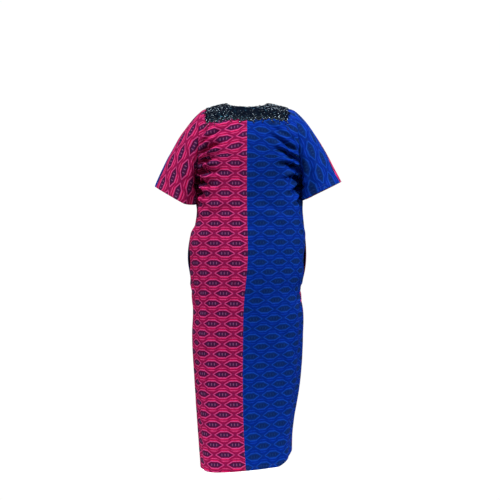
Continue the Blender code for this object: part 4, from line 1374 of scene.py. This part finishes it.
for title, kind, shape, tilt, finish in (
        ("appliqueFlowers", "flower", flower, 0.12, blackLace),
        ("appliqueLeaves", "leaf", leaf, 0.15, blackLace),
        ("jetBeads", "jet", bead, 3.0, jetBead),
        ("steelBeads", "steel", bead, 3.0, steelBead),
        ("tealSequins", "teal", sequin, 0.35, tealSequin)):
    spots, lift, way, size = store[kind]
    grown(title, spots, [], {"outward": lift, "ahead": way, "size": size}, sewnTree, {
        "Shape": shape, "Tilt": tilt, "Seed": 5, "Finish": finish})
for shape in (flower, leaf, sequin, bead):
    bpy.data.objects.remove(shape)
print("applique done")


studio = {
    "floorRadius": 0.95, "floorHeight": -1.66, "floorShade": (0.95, 0.95, 0.95, 1),
    "wallsSeen": 1.02,               # the walls look white, but light the robe less
    "wallsGlow": (0.10, 0.56),       # from below and from above
    "glowBetween": (-0.3, 0.3),
    "lampsAim": (0, 0, -0.6),
    "lens": 70.2, "cameraPlace": (-0.012, 3.9, -0.582),
}
rim = [(math.cos(turn) * studio["floorRadius"], math.sin(turn) * studio["floorRadius"], studio["floorHeight"])
       for turn in np.radians(range(0, 360, 5))]
floor = newObject("floor", newMesh("floor", rim, [range(len(rim))]))
paper, tree, surface = newMaterial("white paper")
feed(tree, surface, {"Base Color": studio["floorShade"], "Roughness": 0.9})
floor.data.materials.append(paper)

world = bpy.data.worlds.new("studio")
world.use_nodes = True
tree = world.node_tree
seen = addNode(tree, "ShaderNodeLightPath").outputs["Is Camera Ray"]
height = addNode(tree, "ShaderNodeTexCoord").outputs["Generated"]
height = addNode(tree, "ShaderNodeSeparateXYZ", inputs=(height,)).outputs["Z"]
glow = addNode(tree, "ShaderNodeMapRange", {"interpolation_type": "SMOOTHSTEP"}, {
    "Value": height, "From Min": studio["glowBetween"][0], "From Max": studio["glowBetween"][1],
    "To Min": studio["wallsGlow"][0], "To Max": studio["wallsGlow"][1]})
strength = addNode(tree, "ShaderNodeMix", inputs={"Factor": seen, 2: glow, 3: studio["wallsSeen"]})
feed(tree, tree.nodes["Background"], {"Color": (1, 1, 1, 1), "Strength": strength})
bpy.context.scene.world = world

Lamp = namedtuple("Lamp", "name kind place spread power")
lamps = (
    Lamp("overheadPanel", "SUN", (0.2, 1.7, 2.7), math.radians(16), 2.9),
    Lamp("frontPanel", "SUN", (-0.5, -1.9, 1.8), math.radians(30), 1.3),
    Lamp("leftSoftbox", "AREA", (2.0, 0.8, 0.9), 0.9, 32),
    Lamp("rightSoftbox", "AREA", (-2.0, 0.8, 0.9), 0.9, 58),
)
for lamp in lamps:
    data = bpy.data.lights.new(lamp.name, lamp.kind)
    data.energy = lamp.power
    if lamp.kind == "SUN":
        data.angle = lamp.spread
    else:
        data.shape, data.size = "DISK", lamp.spread
    light = newObject(lamp.name, data)
    light.location = lamp.place
    aim = Vector(studio["lampsAim"]) - light.location
    light.rotation_euler = aim.to_track_quat("-Z", "Y").to_euler()

camera = newObject("camera", bpy.data.cameras.new("camera"))
camera.data.lens, camera.data.sensor_width = studio["lens"], 36.0
camera.location = studio["cameraPlace"]
camera.rotation_euler = (math.radians(90), 0, math.radians(180))
bpy.context.scene.camera = camera
bpy.context.scene.view_settings.view_transform = "Standard"
